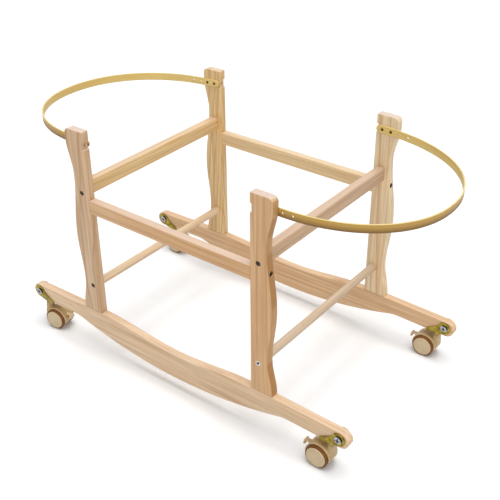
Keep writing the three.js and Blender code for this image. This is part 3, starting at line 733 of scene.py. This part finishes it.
# Bolt head steels: pale is a painted glint on one bolt, the darker ones are painted shade on the
# others, brown in the rail bolts' recesses.
GLINT_STEEL = metal("steel_painted_glint", (248, 248, 248), (214, 214, 214), 0.4)
BROWN_SHADED_STEEL = metal("steel_painted_brown_shade", (98, 72, 46), (46, 32, 20), 0.45)
SHADED_STEEL = metal("steel_painted_shade", (124, 116, 108), (62, 56, 50), 0.36, spread=260)
BLACKENED = metal("blackened_steel", (106, 78, 26), (74, 52, 16), 0.42)
ZINC = metal("yellow_zinc", (176, 158, 68), (104, 82, 32), 0.32, spread=120)
BRIGHT = plated("bright_plate", (200, 202, 206), (146, 148, 152), (44, 42, 40))
# Painted shadow for the ring round a bolt's recess.
PAINTED_RECESS_SHADOW = plastic("painted_recess_shadow", (92, 62, 40), (66, 44, 30), 0.7)
# Painted shade for the inside of sockets and cross recesses.
PAINTED_HOLE_SHADE = plastic("painted_hole_shade", (40, 36, 32), (26, 24, 22), 0.6)
NYLON = plastic("hood_nylon", (204, 176, 126), (188, 158, 106), 0.36)
# Pale nylon of the pedal; on the hood's lip it is a painted highlight.
PALE_NYLON_AND_HIGHLIGHT = plastic("pale_nylon_and_rim_highlight", (232, 208, 166), (220, 194, 148), 0.4)
CAP_NYLON = plastic("cap_nylon", (222, 200, 162), (208, 186, 146), 0.4)
TREAD = plastic("tread", (138, 90, 48), (110, 68, 34), 0.58, sheen=0.2)


def dress(obj, material, body, slot, *nodes):
    obj.data.materials.clear()
    obj.data.materials.append(material)
    if nodes:
        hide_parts(*nodes)
    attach(obj, body)


def dress_timber(obj, name, along, seed, matrix, slot="pine"):
    """Places a wooden piece and gives it a grain laid out from its own middle."""
    place(shade(obj), matrix)
    centre = sum((Vector(corner) for corner in obj.bound_box), Vector()) / 8
    grain = wood(f"grain_{name}", along, seed, centre, *WOODS[name])
    dress(obj, grain, "frame", slot, name)


# Rockers


def rocker_half():
    """The right half of a rocker's outline, from its belly round the tip to its seat's middle."""
    slope = math.radians(ARM_SLOPE)
    tip = Vector((TIP_X, TIP_Z))
    centre = Vector((0, TIP_Z - ROCK_DROP + ROCK_RADIUS))
    down = Vector((-math.sin(slope), -math.cos(slope)))
    inward = Vector((-math.cos(slope), math.sin(slope)))
    start = tip + down * (TIP_RADIUS + ARM_BLEND)
    reach = start - centre
    along = -reach.dot(inward)
    run = along - math.sqrt(along**2 - reach.length_squared + (ROCK_RADIUS + ARM_BLEND) ** 2)
    blend = start + inward * run
    gap = blend - centre
    leave = math.atan2(gap.y, gap.x)
    meet = math.atan2(-gap.y, -gap.x)
    seat_end = Vector((POST_GAP / 2 + POST_STATIONS[0][1] + SEAT_MARGIN, SEAT_Z))
    top = touch(seat_end.x - tip.x, seat_end.y - tip.y, TIP_RADIUS, -1)
    edge = arc(centre.x, centre.y, ROCK_RADIUS, -math.pi / 2, leave, 40)
    edge += arc(blend.x, blend.y, ARM_BLEND, meet, math.pi / 2 - slope, 12)[1:]
    edge += arc(tip.x, tip.y, TIP_RADIUS, -math.pi / 2 - slope, top, 30)
    edge.append(tuple(seat_end))
    steps = 30
    for i in range(steps + 1):
        share = 1 - i / steps
        dip = SAG * math.cos(share * math.pi / 2) ** 2
        edge.append((share * POST_GAP / 2, SEAT_Z - dip))
    return edge


def rocker(row, y, seed):
    right = rocker_half()
    left = [(-x, z) for x, z in reversed(right[1:-1])]
    name = f"rocker_{row}"
    obj = bevel(slab(right + left, -TIMBER / 2, TIMBER / 2, name=f"looks_{name}"), ARRIS)
    for x in (-PIVOT_X, PIVOT_X):
        cut(obj, rod(PIVOT_DIAMETER / 2 + FIT, -TIMBER, TIMBER, (x, PIVOT_Z)))
    dress_timber(obj, name, "X", seed, at(0, y, 0))


# Posts


def post_width(height):
    for (low, start), (high, end) in zip(POST_STATIONS, POST_STATIONS[1:]):
        if height < high:
            share = (height - low) / (high - low)
            return start + (end - start) * (1 - math.cos(share * math.pi)) / 2
    return HEAD_WIDTH


def post_outline():
    """A post's outline, with its inner edge at x = 0 and a notch there for the hoop."""
    head, steps = POST_STATIONS[-1][0], 96
    heights = [head * i / steps for i in range(steps + 1)]
    edge = [(0, 0)] + [(post_width(height), height) for height in heights]
    round_x, round_z = HEAD_WIDTH - HEAD_RADIUS, POST_LENGTH - HEAD_RADIUS
    edge += arc(round_x, round_z, HEAD_RADIUS, 0, math.pi / 2, 10)
    low = HOOP_LEVEL - NOTCH_HEIGHT / 2
    high = low + NOTCH_HEIGHT
    return edge + [(0, POST_LENGTH), (0, high), (NOTCH_DEPTH, high), (NOTCH_DEPTH, low), (0, low)]


def post(name, outward, matrix, seed):
    """A post with its inner edge at x = 0 and its foot at z = 0, before the matrix."""
    obj = bevel(slab(post_outline(), -TIMBER / 2, TIMBER / 2, name=f"looks_{name}"), ARRIS)
    low, high = sorted((outward * (TIMBER / 2 - BOLT_SINK), outward * TIMBER))
    bore, recess = BOLT_DIAMETER / 2 + FIT, BOLT_RECESS / 2
    for spot in ((CROSS_RAIL_INSET, CROSS_BOLT_LEVEL), (DOWEL_INSET, DOWEL_LEVEL)):
        cut(obj, rod(bore, -TIMBER, TIMBER, spot), rod(recess, low, high, spot))
    floor, spot = post_width(LONG_BOLT_LEVEL) - BOLT_SINK, (0, LONG_BOLT_LEVEL)
    cut(obj, rod(bore, -TIMBER, FAR, spot, "X"), rod(recess, floor, FAR, spot, "X"))
    cut(obj, rod(PILOT_RADIUS, -TIMBER, PILOT_DEPTH, (0, HOOP_LEVEL), "X", 24))
    dress_timber(obj, name, "Z", seed, matrix)


# Rails and dowels


def rail(name, length, matrix, along, seed):
    low, high = (-length / 2, -TIMBER / 2, 0), (length / 2, TIMBER / 2, RAIL_HEIGHT)
    dress_timber(bevel(box(low, high, f"looks_{name}"), ARRIS), name, along, seed, matrix)


def dowel(name, length, matrix, seed):
    radius, half = DOWEL_DIAMETER / 2, length / 2
    top = [(radius, half - DOWEL_ARRIS), (radius - DOWEL_ARRIS, half), (0, half)]
    foot = [(r, -y) for r, y in reversed(top)]
    dress_timber(turned(foot + top, 64, f"looks_{name}"), name, "Y", seed, matrix, "pale_wood")


# Hoops


def hoop_line():
    """The strip's middle line from end to end, and half its height at each point."""
    half, steps, power = HOOP_HEIGHT / 2, 90, 2 / HOOP_POWER
    line = []
    for i in range(steps + 1):
        angle = (i / steps) * math.pi / 2
        x = HOOP_BOW * math.cos(angle) ** power if i < steps else 0
        line.append(Vector((HOOP_BEND_X + x, HOOP_REACH * math.sin(angle) ** power)))
    straight = [HOOP_BEND_X - (HOOP_STRAIGHT - half) * i / 6 for i in range(1, 7)]
    rounded = [HOOP_END_X + half * (1 - math.sin(math.pi / 2 * i / 8)) for i in range(1, 8)]
    line += [Vector((x, HOOP_REACH)) for x in straight + rounded]
    points = [Vector((p.x, -p.y)) for p in reversed(line[1:])] + line
    heights = []
    for p in points:
        run = p.x - HOOP_END_X
        inside = abs(p.y) > HOOP_REACH - FIT and run < half
        heights.append(math.sqrt(half**2 - (half - run) ** 2) if inside else half)
    return points, heights


def strip(name, points, heights):
    """A strip on edge along a line. Its texture runs along it in metres."""
    verts, lengths = [], [0.0]
    for a, b in zip(points, points[1:]):
        lengths.append(lengths[-1] + (b - a).length)
    for i, (p, h) in enumerate(zip(points, heights)):
        along = (points[min(i + 1, len(points) - 1)] - points[max(i - 1, 0)]).normalized()
        out = Vector((along.y, -along.x))
        t, soft = HOOP_THICKNESS / 2, min(HOOP_ARRIS, h * 0.4)
        section = [(-t, soft - h), (soft - t, -h), (t - soft, -h), (t, soft - h),
                   (t, h - soft), (t - soft, h), (soft - t, h), (-t, h - soft)]
        verts += [(p.x + out.x * u, p.y + out.y * u, v) for u, v in section]
    ring = len(verts) // len(points)
    faces = []
    for start in range(0, len(verts) - ring, ring):
        for j in range(ring):
            k = (j + 1) % ring
            faces.append((start + j, start + k, start + ring + k, start + ring + j))
    faces.append(tuple(range(ring)))
    faces.append(tuple(range(len(verts) - ring, len(verts)))[::-1])
    obj = solid(name, verts, faces)
    with edited(obj) as bm:
        uv = bm.loops.layers.uv.new("grain")
        for face in bm.faces:
            for loop in face.loops:
                run = lengths[loop.vert.index // ring]
                loop[uv].uv = (run * MM, loop.vert.co.z * MM)
    return obj


def hoop(side, turn, seed):
    """A hoop that tilts about its first holes, with the four screws that hold it."""
    obj = strip(f"looks_hoop_{side}", *hoop_line())
    holes = [HOOP_END_X + HOOP_HOLE_START + i * HOOP_HOLE_PITCH for i in range(HOOP_HOLES)]
    for x in holes:
        cut(obj, rod(HOOP_HOLE / 2, -WIDTH, WIDTH, (x, 0), "Y", 28))
    tilt = Matrix.Rotation(math.radians(HOOP_TILT), 4, "Y")
    lean = at(holes[0], 0, 0) @ tilt @ at(-holes[0], 0, 0)
    hung = turn @ at(0, 0, FEET_Z + HOOP_LEVEL) @ lean
    middle = turn @ Vector((HOOP_BEND_X, 0, FEET_Z + HOOP_LEVEL)) * MM
    place(shade(obj), hung)
    dress(obj, hoop_wood(f"bent_strip_{side}", seed, middle), "frame", "hoop", f"hoop_{side}")
    screws(side, hung, holes[:2])


def screw_head():
    """A countersunk screw's head with a cross recess, its face towards +Y."""
    radius, rise, sink = SCREW_RADIUS, SCREW_RISE, SCREW_SINK
    profile = [(0, -sink), (radius * 0.6, -sink), (radius, rise / 9), (radius * 0.93, rise / 2),
               (radius * 0.6, rise * 0.86), (0, rise)]
    obj = turned(profile, 40)
    for x, z in (SCREW_CROSS, SCREW_CROSS[::-1]):
        cut(obj, box((-x, SCREW_FLOOR, -z), (x, FAR, z)))
    return shade(obj)


def row_of(side, outward):
    """The row of a post that lies towards +Y (1) or -Y (-1) before its side's turn."""
    return "near" if (outward < 0) == (side == "right") else "far"


def screws(side, hung, holes):
    base = screw_head()
    for outward in (-1, 1):
        spot = outward * (HOOP_REACH - HOOP_THICKNESS / 2)
        facing = about_z(180 if outward > 0 else 0)
        for index, (x, degrees) in enumerate(zip(holes, SCREW_TURNS)):
            turn = Matrix.Rotation(math.radians(degrees), 4, "Y")
            obj = copy(base, f"screw_hoop_{row_of(side, outward)}_{side}_{index}")
            place(obj, hung @ at(x, spot, 0) @ facing @ turn)
            dress(obj, BLACKENED, "frame", "bolt")
    bpy.data.objects.remove(base)


# Bolts


def frame_bolt(name, shank, matrix):
    """A socket-headed bolt along Y, the underside of its head at y = 0, with a dark disc of painted
    shade in its socket and a ring of painted shadow round its recess. One bolt and its ring are
    painted bright as a glint."""
    radius, head, rise = BOLT_DIAMETER / 2, BOLT_HEAD / 2, BOLT_HEAD_HEIGHT
    floor, soft = rise - SOCKET_DEPTH, BOLT_ARRIS * 0.3
    # Painted glint: this head and its ring in pale steel.
    if name == BRIGHT_BOLT:
        plate, painted_ring_finish, socket = GLINT_STEEL, GLINT_STEEL, BOLT_SOCKET + SOCKET_GROWTH
        disc_top = rise - SHADE_PIECE_DEPTH
        ring_bore, ring_top = head + FIT / 2, BOLT_SINK - RING_SET_BACK
    else:
        # Painted shade: the other heads darker, brown in the rail bolts' recesses.
        plate = BROWN_SHADED_STEEL if name.startswith("bolt_rail") else SHADED_STEEL
        painted_ring_finish, socket, disc_top = PAINTED_RECESS_SHADOW, BOLT_SOCKET, floor + SHADE_PIECE_RISE
        ring_bore, ring_top = BOLT_RECESS / 2 - RECESS_SKIN, BOLT_SINK - SHADOW_RING_SET_BACK
    profile = [(0, -shank), (radius - BOLT_TIP, -shank), (radius, BOLT_TIP - shank), (radius, 0),
               (head, 0), (head, rise - BOLT_ARRIS), (head - soft, rise - soft),
               (head - BOLT_ARRIS, rise), (0, rise)]
    bolt = cut(turned(profile, 48, f"looks_{name}"), rod(socket, floor, FAR, sides=6))
    dress(place(shade(bolt), matrix), plate, "frame", "bolt", name)
    # A dark disc in the socket: painted shade.
    disc = rod(socket, floor - SHADE_PIECE_DEPTH, disc_top, sides=6, name=f"socket_{name}")
    dress(place(shade(disc), matrix), PAINTED_HOLE_SHADE, "frame", "bolt")
    # The ring in the recess: painted shadow, or a painted glint on the one bright bolt.
    ring = rod(BOLT_RECESS / 2 - RECESS_GAP, -FIT, ring_top, name=f"recess_{name}")
    cut(ring, rod(ring_bore, -FIT / 2, FAR))
    dress(place(shade(ring), matrix), painted_ring_finish, "frame", "bolt")


def cross(half, arm, low, high, name="tool"):
    """The two arms of a cross recess, as boxes from low to high."""
    return (box((-half, low, -arm), (half, high, arm), name),
            box((-arm, low, -half), (arm, high, half)))


def pivot_bolt(name, matrix):
    """A domed bolt with a cross recess on one ear of the bracket, and its nut on the other."""
    seat = EAR_Y + SHEET + FIT
    radius, head, top = PIVOT_DIAMETER / 2, PIVOT_HEAD / 2, seat + PIVOT_HEAD_HEIGHT
    nut_end = -seat - PIVOT_NUT_HEIGHT
    tail = nut_end - radius / 2
    dome_rise = PIVOT_HEAD_HEIGHT - PIVOT_HEAD_EDGE
    dome = [(head * math.cos(a) ** 0.7, seat + PIVOT_HEAD_EDGE + dome_rise * math.sin(a))
            for a in (math.pi / 2 * i / 12 for i in range(12))]
    profile = [(0, tail), (radius - PIVOT_TIP, tail), (radius, tail + PIVOT_TIP), (radius, seat),
               (head, seat)]
    obj = turned(profile + dome + [(0, top)], 56, f"looks_{name}")
    half, arm = PIVOT_CROSS / 2 + CROSS_GROWTH, PIVOT_SLOT / 2 + SLOT_GROWTH
    floor = top - PIVOT_CROSS_DEPTH
    cut(obj, *cross(half, arm, floor, FAR))
    nut = rod(PIVOT_NUT / 2, nut_end, -seat, sides=6)
    combine(obj, bevel(nut, NUT_ARRIS, 2), "UNION")
    dress(place(shade(obj), matrix), BRIGHT, "frame", "pivot_bolt", name)
    # A dark cross in the cross recess: painted shade.
    low, high = floor - SHADE_PIECE_DEPTH, floor + CROSS_RISE
    shade_cross = combine(*cross(half, arm, low, high, f"recess_{name}"), "UNION")
    dress(place(shade(shade_cross), matrix), PAINTED_HOLE_SHADE, "frame", "pivot_bolt")


# Casters, modelled at the stand's right with the pivot or the axle at the origin


def ear_outline():
    """A bracket's ear from the side: round at the pivot, drawn in at the waist, rounded heel."""
    foot, toe = (-WEB_FAR, -WEB_BOTTOM), (-EAR_TOE, -WEB_BOTTOM)
    waist = (-EAR_RADIUS - EAR_WAIST[0], -EAR_WAIST[1])
    heel = (-WEB_FAR, EAR_HEEL - WEB_TOP)
    low, high = touch(*toe, EAR_RADIUS, 1), touch(*waist, EAR_RADIUS, -1) + 2 * math.pi
    eye = arc(0, 0, EAR_RADIUS, low, high, 48)
    soft_waist = round_corners([eye[-1], waist, heel], WAIST_ROUND, 6)[1:-1]
    soft_heel = round_corners([waist, heel, foot], HEEL_ROUND, 5)[1:-1]
    return [toe] + eye + soft_waist + soft_heel + [foot]


def bracket_mesh():
    """A channel bent from sheet, its ears cut to their outline, with the tongue of its web."""
    outside, top = EAR_Y + SHEET, EAR_RADIUS + SHEET
    bend_y, bend_z = outside - BEND_RADIUS, BEND_RADIUS - WEB_BOTTOM
    inner, down = BEND_RADIUS - SHEET, -math.pi / 2
    section = arc(bend_y, bend_z, BEND_RADIUS, down, 0, 8) + [(outside, top), (EAR_Y, top)]
    section += arc(bend_y, bend_z, inner, 0, down, 5)
    section += arc(-bend_y, bend_z, inner, down, -math.pi, 5)
    section += [(-EAR_Y, top), (-outside, top)]
    section += arc(-bend_y, bend_z, BEND_RADIUS, math.pi, 1.5 * math.pi, 8)
    obj = slab(section, -WEB_FAR, 2 * EAR_RADIUS, "X")
    combine(obj, slab(ear_outline(), -2 * outside, 2 * outside), "INTERSECT")
    tongue = box((-WEB_FAR + 1, -bend_y, -WEB_BOTTOM), (-WEB_NEAR, bend_y, -WEB_TOP))
    combine(obj, tongue, "UNION")
    cut(obj, rod(STEM_DIAMETER / 2 + RUN, -2 * WEB_BOTTOM, 0, (-STEM_INSET, 0), "Z"))
    cut(obj, rod(PIVOT_DIAMETER / 2 + RUN, -FAR, FAR))
    return shade(obj)


def hood_plan(rim):
    """What the hood keeps of any form, seen from above: its width, with round front corners."""
    front = TRAIL + max(x for x, _ in HOOD_NOSE)
    x, y = front - HOOD_CORNER, rim - HOOD_CORNER
    plan = [(-FAR, -rim)] + arc(x, -y, HOOD_CORNER, -math.pi / 2, 0, 14)
    plan += arc(x, y, HOOD_CORNER, 0, math.pi / 2, 14) + [(-FAR, rim)]
    return slab(plan, -FAR, FAR, "Z")


def hood_boss():
    """The boss over the stem, flared at its foot, with its collar."""
    climb = BOSS_RISE - FLARE_DROP - BOSS_FOOT
    flare = [(BOSS_RADIUS + BOSS_FLARE * (1 - t) ** 2, BOSS_FOOT + climb * t)
             for t in (i / 9 for i in range(10))]
    soft, top = BOSS_ROUND * 0.3, STEM_RISE - FIT
    head = [(BOSS_RADIUS, BOSS_RISE - BOSS_ROUND), (BOSS_RADIUS - soft, BOSS_RISE - soft),
            (BOSS_RADIUS - BOSS_ROUND, BOSS_RISE), (COLLAR_RADIUS, BOSS_RISE),
            (COLLAR_RADIUS, top), (0, top)]
    obj = turned([(0, BOSS_FOOT)] + flare + head, 48)
    obj.data.transform(at(TRAIL, 0, 0) @ Matrix.Rotation(math.pi / 2, 4, "X"))
    return obj


def hood_lip(hood, rim):
    """The hood's rim, swelled a little so that it shows as an edge of its own."""
    edge = box((-FAR, -FAR, -FAR), (FAR, FAR, LIP - HOOD_FLOOR))
    for side in (-1, 1):
        low, high = sorted((side * (rim - LIP / 2), side * FAR))
        combine(edge, rod(WELL_RADIUS + LIP, low, high, sides=72), "UNION")
    lip = combine(copy(hood, "lip"), edge, "INTERSECT")
    modify(lip, "DISPLACE", strength=LIP_PROUD, mid_level=0.0)
    return apply_modifiers(lip)


def hood_meshes():
    """The hood with softened edges, and its lip."""
    nose = [(TRAIL + x, z - HOOD_FLOOR) for x, z in HOOD_NOSE]
    heel = math.pi + math.asin(HOOD_FLOOR / HOOD_RADIUS)
    rim = HOOD_CORE + HOOD_OVERHANG
    profile = nose + arc(0, 0, HOOD_RADIUS, math.radians(HOOD_BROW), heel, 40)
    obj = combine(slab(profile, -rim, rim), hood_plan(rim), "INTERSECT")
    combine(obj, combine(hood_boss(), hood_plan(rim), "INTERSECT"), "UNION")
    for side in (-1, 1):
        low, high = sorted((side * HOOD_CORE, side * FAR))
        cut(obj, rod(WELL_RADIUS, low, high, sides=72))
    inside = HOOD_CORE - HOOD_WALL
    hollow = rod(HOOD_RADIUS - HOOD_WALL, -inside, inside, sides=72)
    cut(obj, cut(hollow, box((-FAR, -FAR, 0), (FAR, FAR, FAR))))
    slot, eye = PEDAL_NECK / 2 + RUN, PEDAL_EYE + RUN
    drop = math.sin(math.radians(PEDAL_TRAVEL)) * PEDAL_PIN_DEPTH * 2
    cut(obj, box((-FAR, -slot, PIN_Z - eye - drop), (PIN_X + eye, slot, PIN_Z + eye)))
    lip = hood_lip(obj, rim)
    modify(obj, "REMESH", mode="VOXEL", voxel_size=HOOD_VOXEL)
    modify(obj, "SMOOTH", factor=0.5, iterations=HOOD_SMOOTHING)
    modify(obj, "DECIMATE", ratio=HOOD_KEPT)
    apply_modifiers(obj)
    return shade(obj, HOOD_SHARP), shade(lip)


def hood_metal():
    """The axle, the stem and the pedal's pin that a hood carries."""
    axle_end = WHEEL_OUTSIDE - AXLE_CAP - RUN
    pin_end = PEDAL_NECK / 2 + RUN + PEDAL_PIN_DIAMETER / 2
    obj = rod(AXLE_DIAMETER / 2, -axle_end, axle_end)
    combine(obj, rod(STEM_DIAMETER / 2, STEM_FOOT, STEM_RISE + SHEET, (TRAIL, 0), "Z"), "UNION")
    combine(obj, rod(PEDAL_PIN_DIAMETER / 2, -pin_end, pin_end, (PIN_X, PIN_Z)), "UNION")
    return shade(obj)


def pedal_mesh():
    """The pedal's plate with round corners, its neck and the eye on its pin."""
    width, height, thickness = PEDAL_PLATE
    outer, middle = -HOOD_RADIUS - PEDAL_REACH, PIN_Z - PEDAL_DROP
    y, z = width / 2 - PLATE_CORNER, height / 2 - PLATE_CORNER
    outline = []
    for corner, (sy, sz) in enumerate(((1, 1), (-1, 1), (-1, -1), (1, -1))):
        start = corner * math.pi / 2
        outline += arc(sy * y, middle + sz * z, PLATE_CORNER, start, start + math.pi / 2, 8)
    obj = bevel(slab(outline, outer, outer + thickness, "X"), PLATE_ARRIS, 4)
    half, thick = PEDAL_NECK / 2, PEDAL_NECK_THICKNESS / 2
    neck = box((outer + thickness / 2, -half, PIN_Z - thick), (PIN_X, half, PIN_Z + thick))
    combine(obj, bevel(neck, NECK_ARRIS), "UNION")
    combine(obj, rod(PEDAL_EYE, -half, half, (PIN_X, PIN_Z)), "UNION")
    cut(obj, rod(PEDAL_PIN_DIAMETER / 2 + RUN, -FAR, FAR, (PIN_X, PIN_Z), sides=32))
    return shade(obj)


def tyre_mesh():
    low, high = WHEEL_INSIDE, WHEEL_OUTSIDE - TYRE_SET_BACK - TYRE_STEP
    inner, outer = CAP_RADIUS + FIT, WHEEL_RADIUS
    corners = [(inner, low), (outer, low), (outer, high), (inner, high)]
    return shade(turned(round_corners(corners, TREAD_ROUND, 6), 96))


def hub_mesh():
    """The pale wheel with a blind bore for the axle and a stepped, crowned cap."""
    bore, floor = AXLE_DIAMETER / 2 + RUN, WHEEL_OUTSIDE - AXLE_CAP
    back = [(0, floor), (bore, floor), (bore, WHEEL_INSIDE), (CAP_RADIUS, WHEEL_INSIDE)]
    rim = [(CAP_RADIUS - inset, WHEEL_OUTSIDE + rise) for inset, rise in CAP_RIM]
    edge, level = rim[-1]
    climb = CAP_CROWN - CAP_RIM[-1][1]
    crown = [(edge * (1 - t), level + climb * math.sin(t * math.pi / 2))
             for t in (i / 8 for i in range(1, 8))]
    return shade(turned(back + rim + crown + [(0, WHEEL_OUTSIDE + CAP_CROWN)], 96))


def caster(name, outward, pivot, shapes):
    """A caster's bodies, hung from its pivot and turned on its stem as it rests."""
    stem = pivot @ at(-STEM_INSET, 0, -WEB_BOTTOM - STEM_RISE)
    axle = stem @ about_z(REST_TURN.get(name, 0)) @ at(-TRAIL, 0, 0)
    for shape, title, matrix, material, body, slot, *nodes in (
        ("bracket", "looks_bracket", pivot, ZINC, "bracket", "bracket", f"bracket_{name}"),
        ("hood", "looks_hood", axle, NYLON, "hood", "hood", f"hood_{name}"),
        # The lip's paler colour is a painted highlight along the hood's rim.
        ("lip", "hood_lip", axle, PALE_NYLON_AND_HIGHLIGHT, "hood", "hood"),
        ("metal", "axle_and_stem", axle, STEEL, "hood", "bolt"),
        ("pedal", "looks_pedal", axle, PALE_NYLON_AND_HIGHLIGHT, "pedal", "hood", f"pedal_{name}"),
    ):
        obj = place(copy(shapes[shape], f"{title}_{name}"), matrix)
        dress(obj, material, f"{body}_{name}", slot, *nodes)
    for which in (-1, 1):
        spot = f"{'out' if which == outward else 'in'}_{name}"
        matrix = axle @ about_z(180 if which < 0 else 0)
        for shape, material, slot in (("tyre", TREAD, "tyre"), ("hub", CAP_NYLON, "hubcap")):
            obj = place(copy(shapes[shape], f"looks_{shape}_{spot}"), matrix)
            dress(obj, material, f"wheel_{spot}", slot, f"{shape}_{spot}")


# The stand

for row, y, seed in (("near", -MID_Y, 1), ("far", MID_Y, 2)):
    rocker(row, y, seed)
    matrix = at(0, y, FEET_Z + LONG_RAIL_LEVEL)
    rail(f"rail_long_{row}", POST_GAP - 2 * FIT, matrix, "X", seed + 20)

hood_shape, lip_shape = hood_meshes()
shapes = {
    "bracket": bracket_mesh(),
    "hood": hood_shape,
    "lip": lip_shape,
    "metal": hood_metal(),
    "pedal": pedal_mesh(),
    "tyre": tyre_mesh(),
    "hub": hub_mesh(),
}

for side, degrees, seed in (("right", 0, 0), ("left", 180, 5)):
    turn = about_z(degrees)
    feet = turn @ at(POST_GAP / 2, 0, FEET_Z)
    matrix = feet @ at(CROSS_RAIL_INSET, 0, CROSS_RAIL_LEVEL) @ about_z(90)
    rail(f"rail_cross_{side}", BETWEEN, matrix, "Y", seed + 30)
    dowel(f"dowel_{side}", BETWEEN, feet @ at(DOWEL_INSET, 0, DOWEL_LEVEL), seed + 40)
    hoop(side, turn, seed + 50)
    for outward in (-1, 1):
        name = f"{row_of(side, outward)}_{side}"
        y = outward * MID_Y
        post(f"post_{name}", outward, feet @ at(0, y, 0), seed + 10 + outward)
        head_y = y + outward * (TIMBER / 2 - BOLT_SINK + FIT)
        facing = about_z(180 if outward < 0 else 0)
        shank = TIMBER - BOLT_SINK + BOLT_GRIP
        for kind, x, z in (
            ("cross", CROSS_RAIL_INSET, CROSS_BOLT_LEVEL),
            ("dowel", DOWEL_INSET, DOWEL_LEVEL),
        ):
            frame_bolt(f"bolt_{kind}_{name}", shank, feet @ at(x, head_y, z) @ facing)
        head_x = post_width(LONG_BOLT_LEVEL) - BOLT_SINK + FIT
        matrix = feet @ at(head_x, y, LONG_BOLT_LEVEL) @ about_z(-90)
        frame_bolt(f"bolt_rail_{name}", head_x + BOLT_GRIP, matrix)
        pivot = turn @ at(PIVOT_X, y, PIVOT_Z)
        pivot_bolt(f"bolt_pivot_{name}", pivot @ about_z(180 if side == "right" else 0))
        caster(name, outward, pivot, shapes)

for obj in shapes.values():
    bpy.data.objects.remove(obj)


# Stage


def floor_material():
    """White where it is seen, and a plain grey for the light that it throws back."""
    made = Shader("floor", Roughness=1.0, Specular_IOR_Level=0.0)
    made.feed(made.bsdf.inputs["Base Color"], grey(FLOOR_BOUNCE))
    shadow = made.node("ShaderNodeBsdfDiffuse", {"Color": FLOOR_COLOR})
    glow = made.node("ShaderNodeEmission", {"Color": grey(1), "Strength": FLOOR_GLOW})
    both = made.node("ShaderNodeAddShader", {0: shadow.outputs[0], 1: glow.outputs[0]})
    inputs = {0: made.seen(), 1: made.bsdf.outputs[0], 2: both.outputs[0]}
    mixed = made.node("ShaderNodeMixShader", inputs)
    made.feed(made.nodes["Material Output"].inputs["Surface"], mixed.outputs[0])
    return made.material


def dress_world():
    """White where it is seen, and a dimmer white for the light that it gives."""
    world = bpy.data.worlds.new("studio")
    bpy.context.scene.world = world
    made = Tree(world)
    dim = made.nodes["Background"]
    made.feed(dim.inputs["Color"], grey(1))
    made.feed(dim.inputs["Strength"], WORLD_STRENGTH)
    white = made.node("ShaderNodeBackground", {"Color": grey(1), "Strength": 1.0})
    inputs = {0: made.seen(), 1: dim.outputs[0], 2: white.outputs[0]}
    mixed = made.node("ShaderNodeMixShader", inputs)
    made.feed(made.nodes["World Output"].inputs["Surface"], mixed.outputs[0])


def sun(name, energy, angle, direction):
    data = bpy.data.lights.new(name, "SUN")
    data.energy = energy
    data.angle = math.radians(angle)
    lamp = linked(name, data)
    lamp.rotation_euler = Vector(direction).to_track_quat("-Z", "Y").to_euler()


def place_camera():
    data = bpy.data.cameras.new("camera")
    data.sensor_width = CAMERA_SENSOR
    data.lens = CAMERA_LENS
    camera = linked("camera", data)
    yaw, pitch, roll = map(math.radians, CAMERA_TURN)
    flat = math.cos(pitch)
    forward = Vector((math.sin(yaw) * flat, math.cos(yaw) * flat, -math.sin(pitch)))
    level = Vector((math.cos(yaw), -math.sin(yaw), 0))
    upright = level.cross(forward)
    right = math.cos(roll) * level + math.sin(roll) * upright
    up = math.cos(roll) * upright - math.sin(roll) * level
    columns = Matrix((right, up, -forward)).transposed().to_4x4()
    camera.matrix_world = Matrix.Translation(CAMERA_PLACE) @ columns
    bpy.context.scene.camera = camera


corners = [(x * FLOOR_HALF, y * FLOOR_HALF, 0) for x, y in ((-1, -1), (1, -1), (1, 1), (-1, 1))]
floor = piece("floor", corners, [(0, 1, 2, 3)])
floor.data.materials.append(floor_material())
dress_world()
sun("key_light", **KEY_LAMP)
sun("fill_light", **FILL_LAMP)
place_camera()
bpy.context.scene.view_settings.view_transform = "Standard"
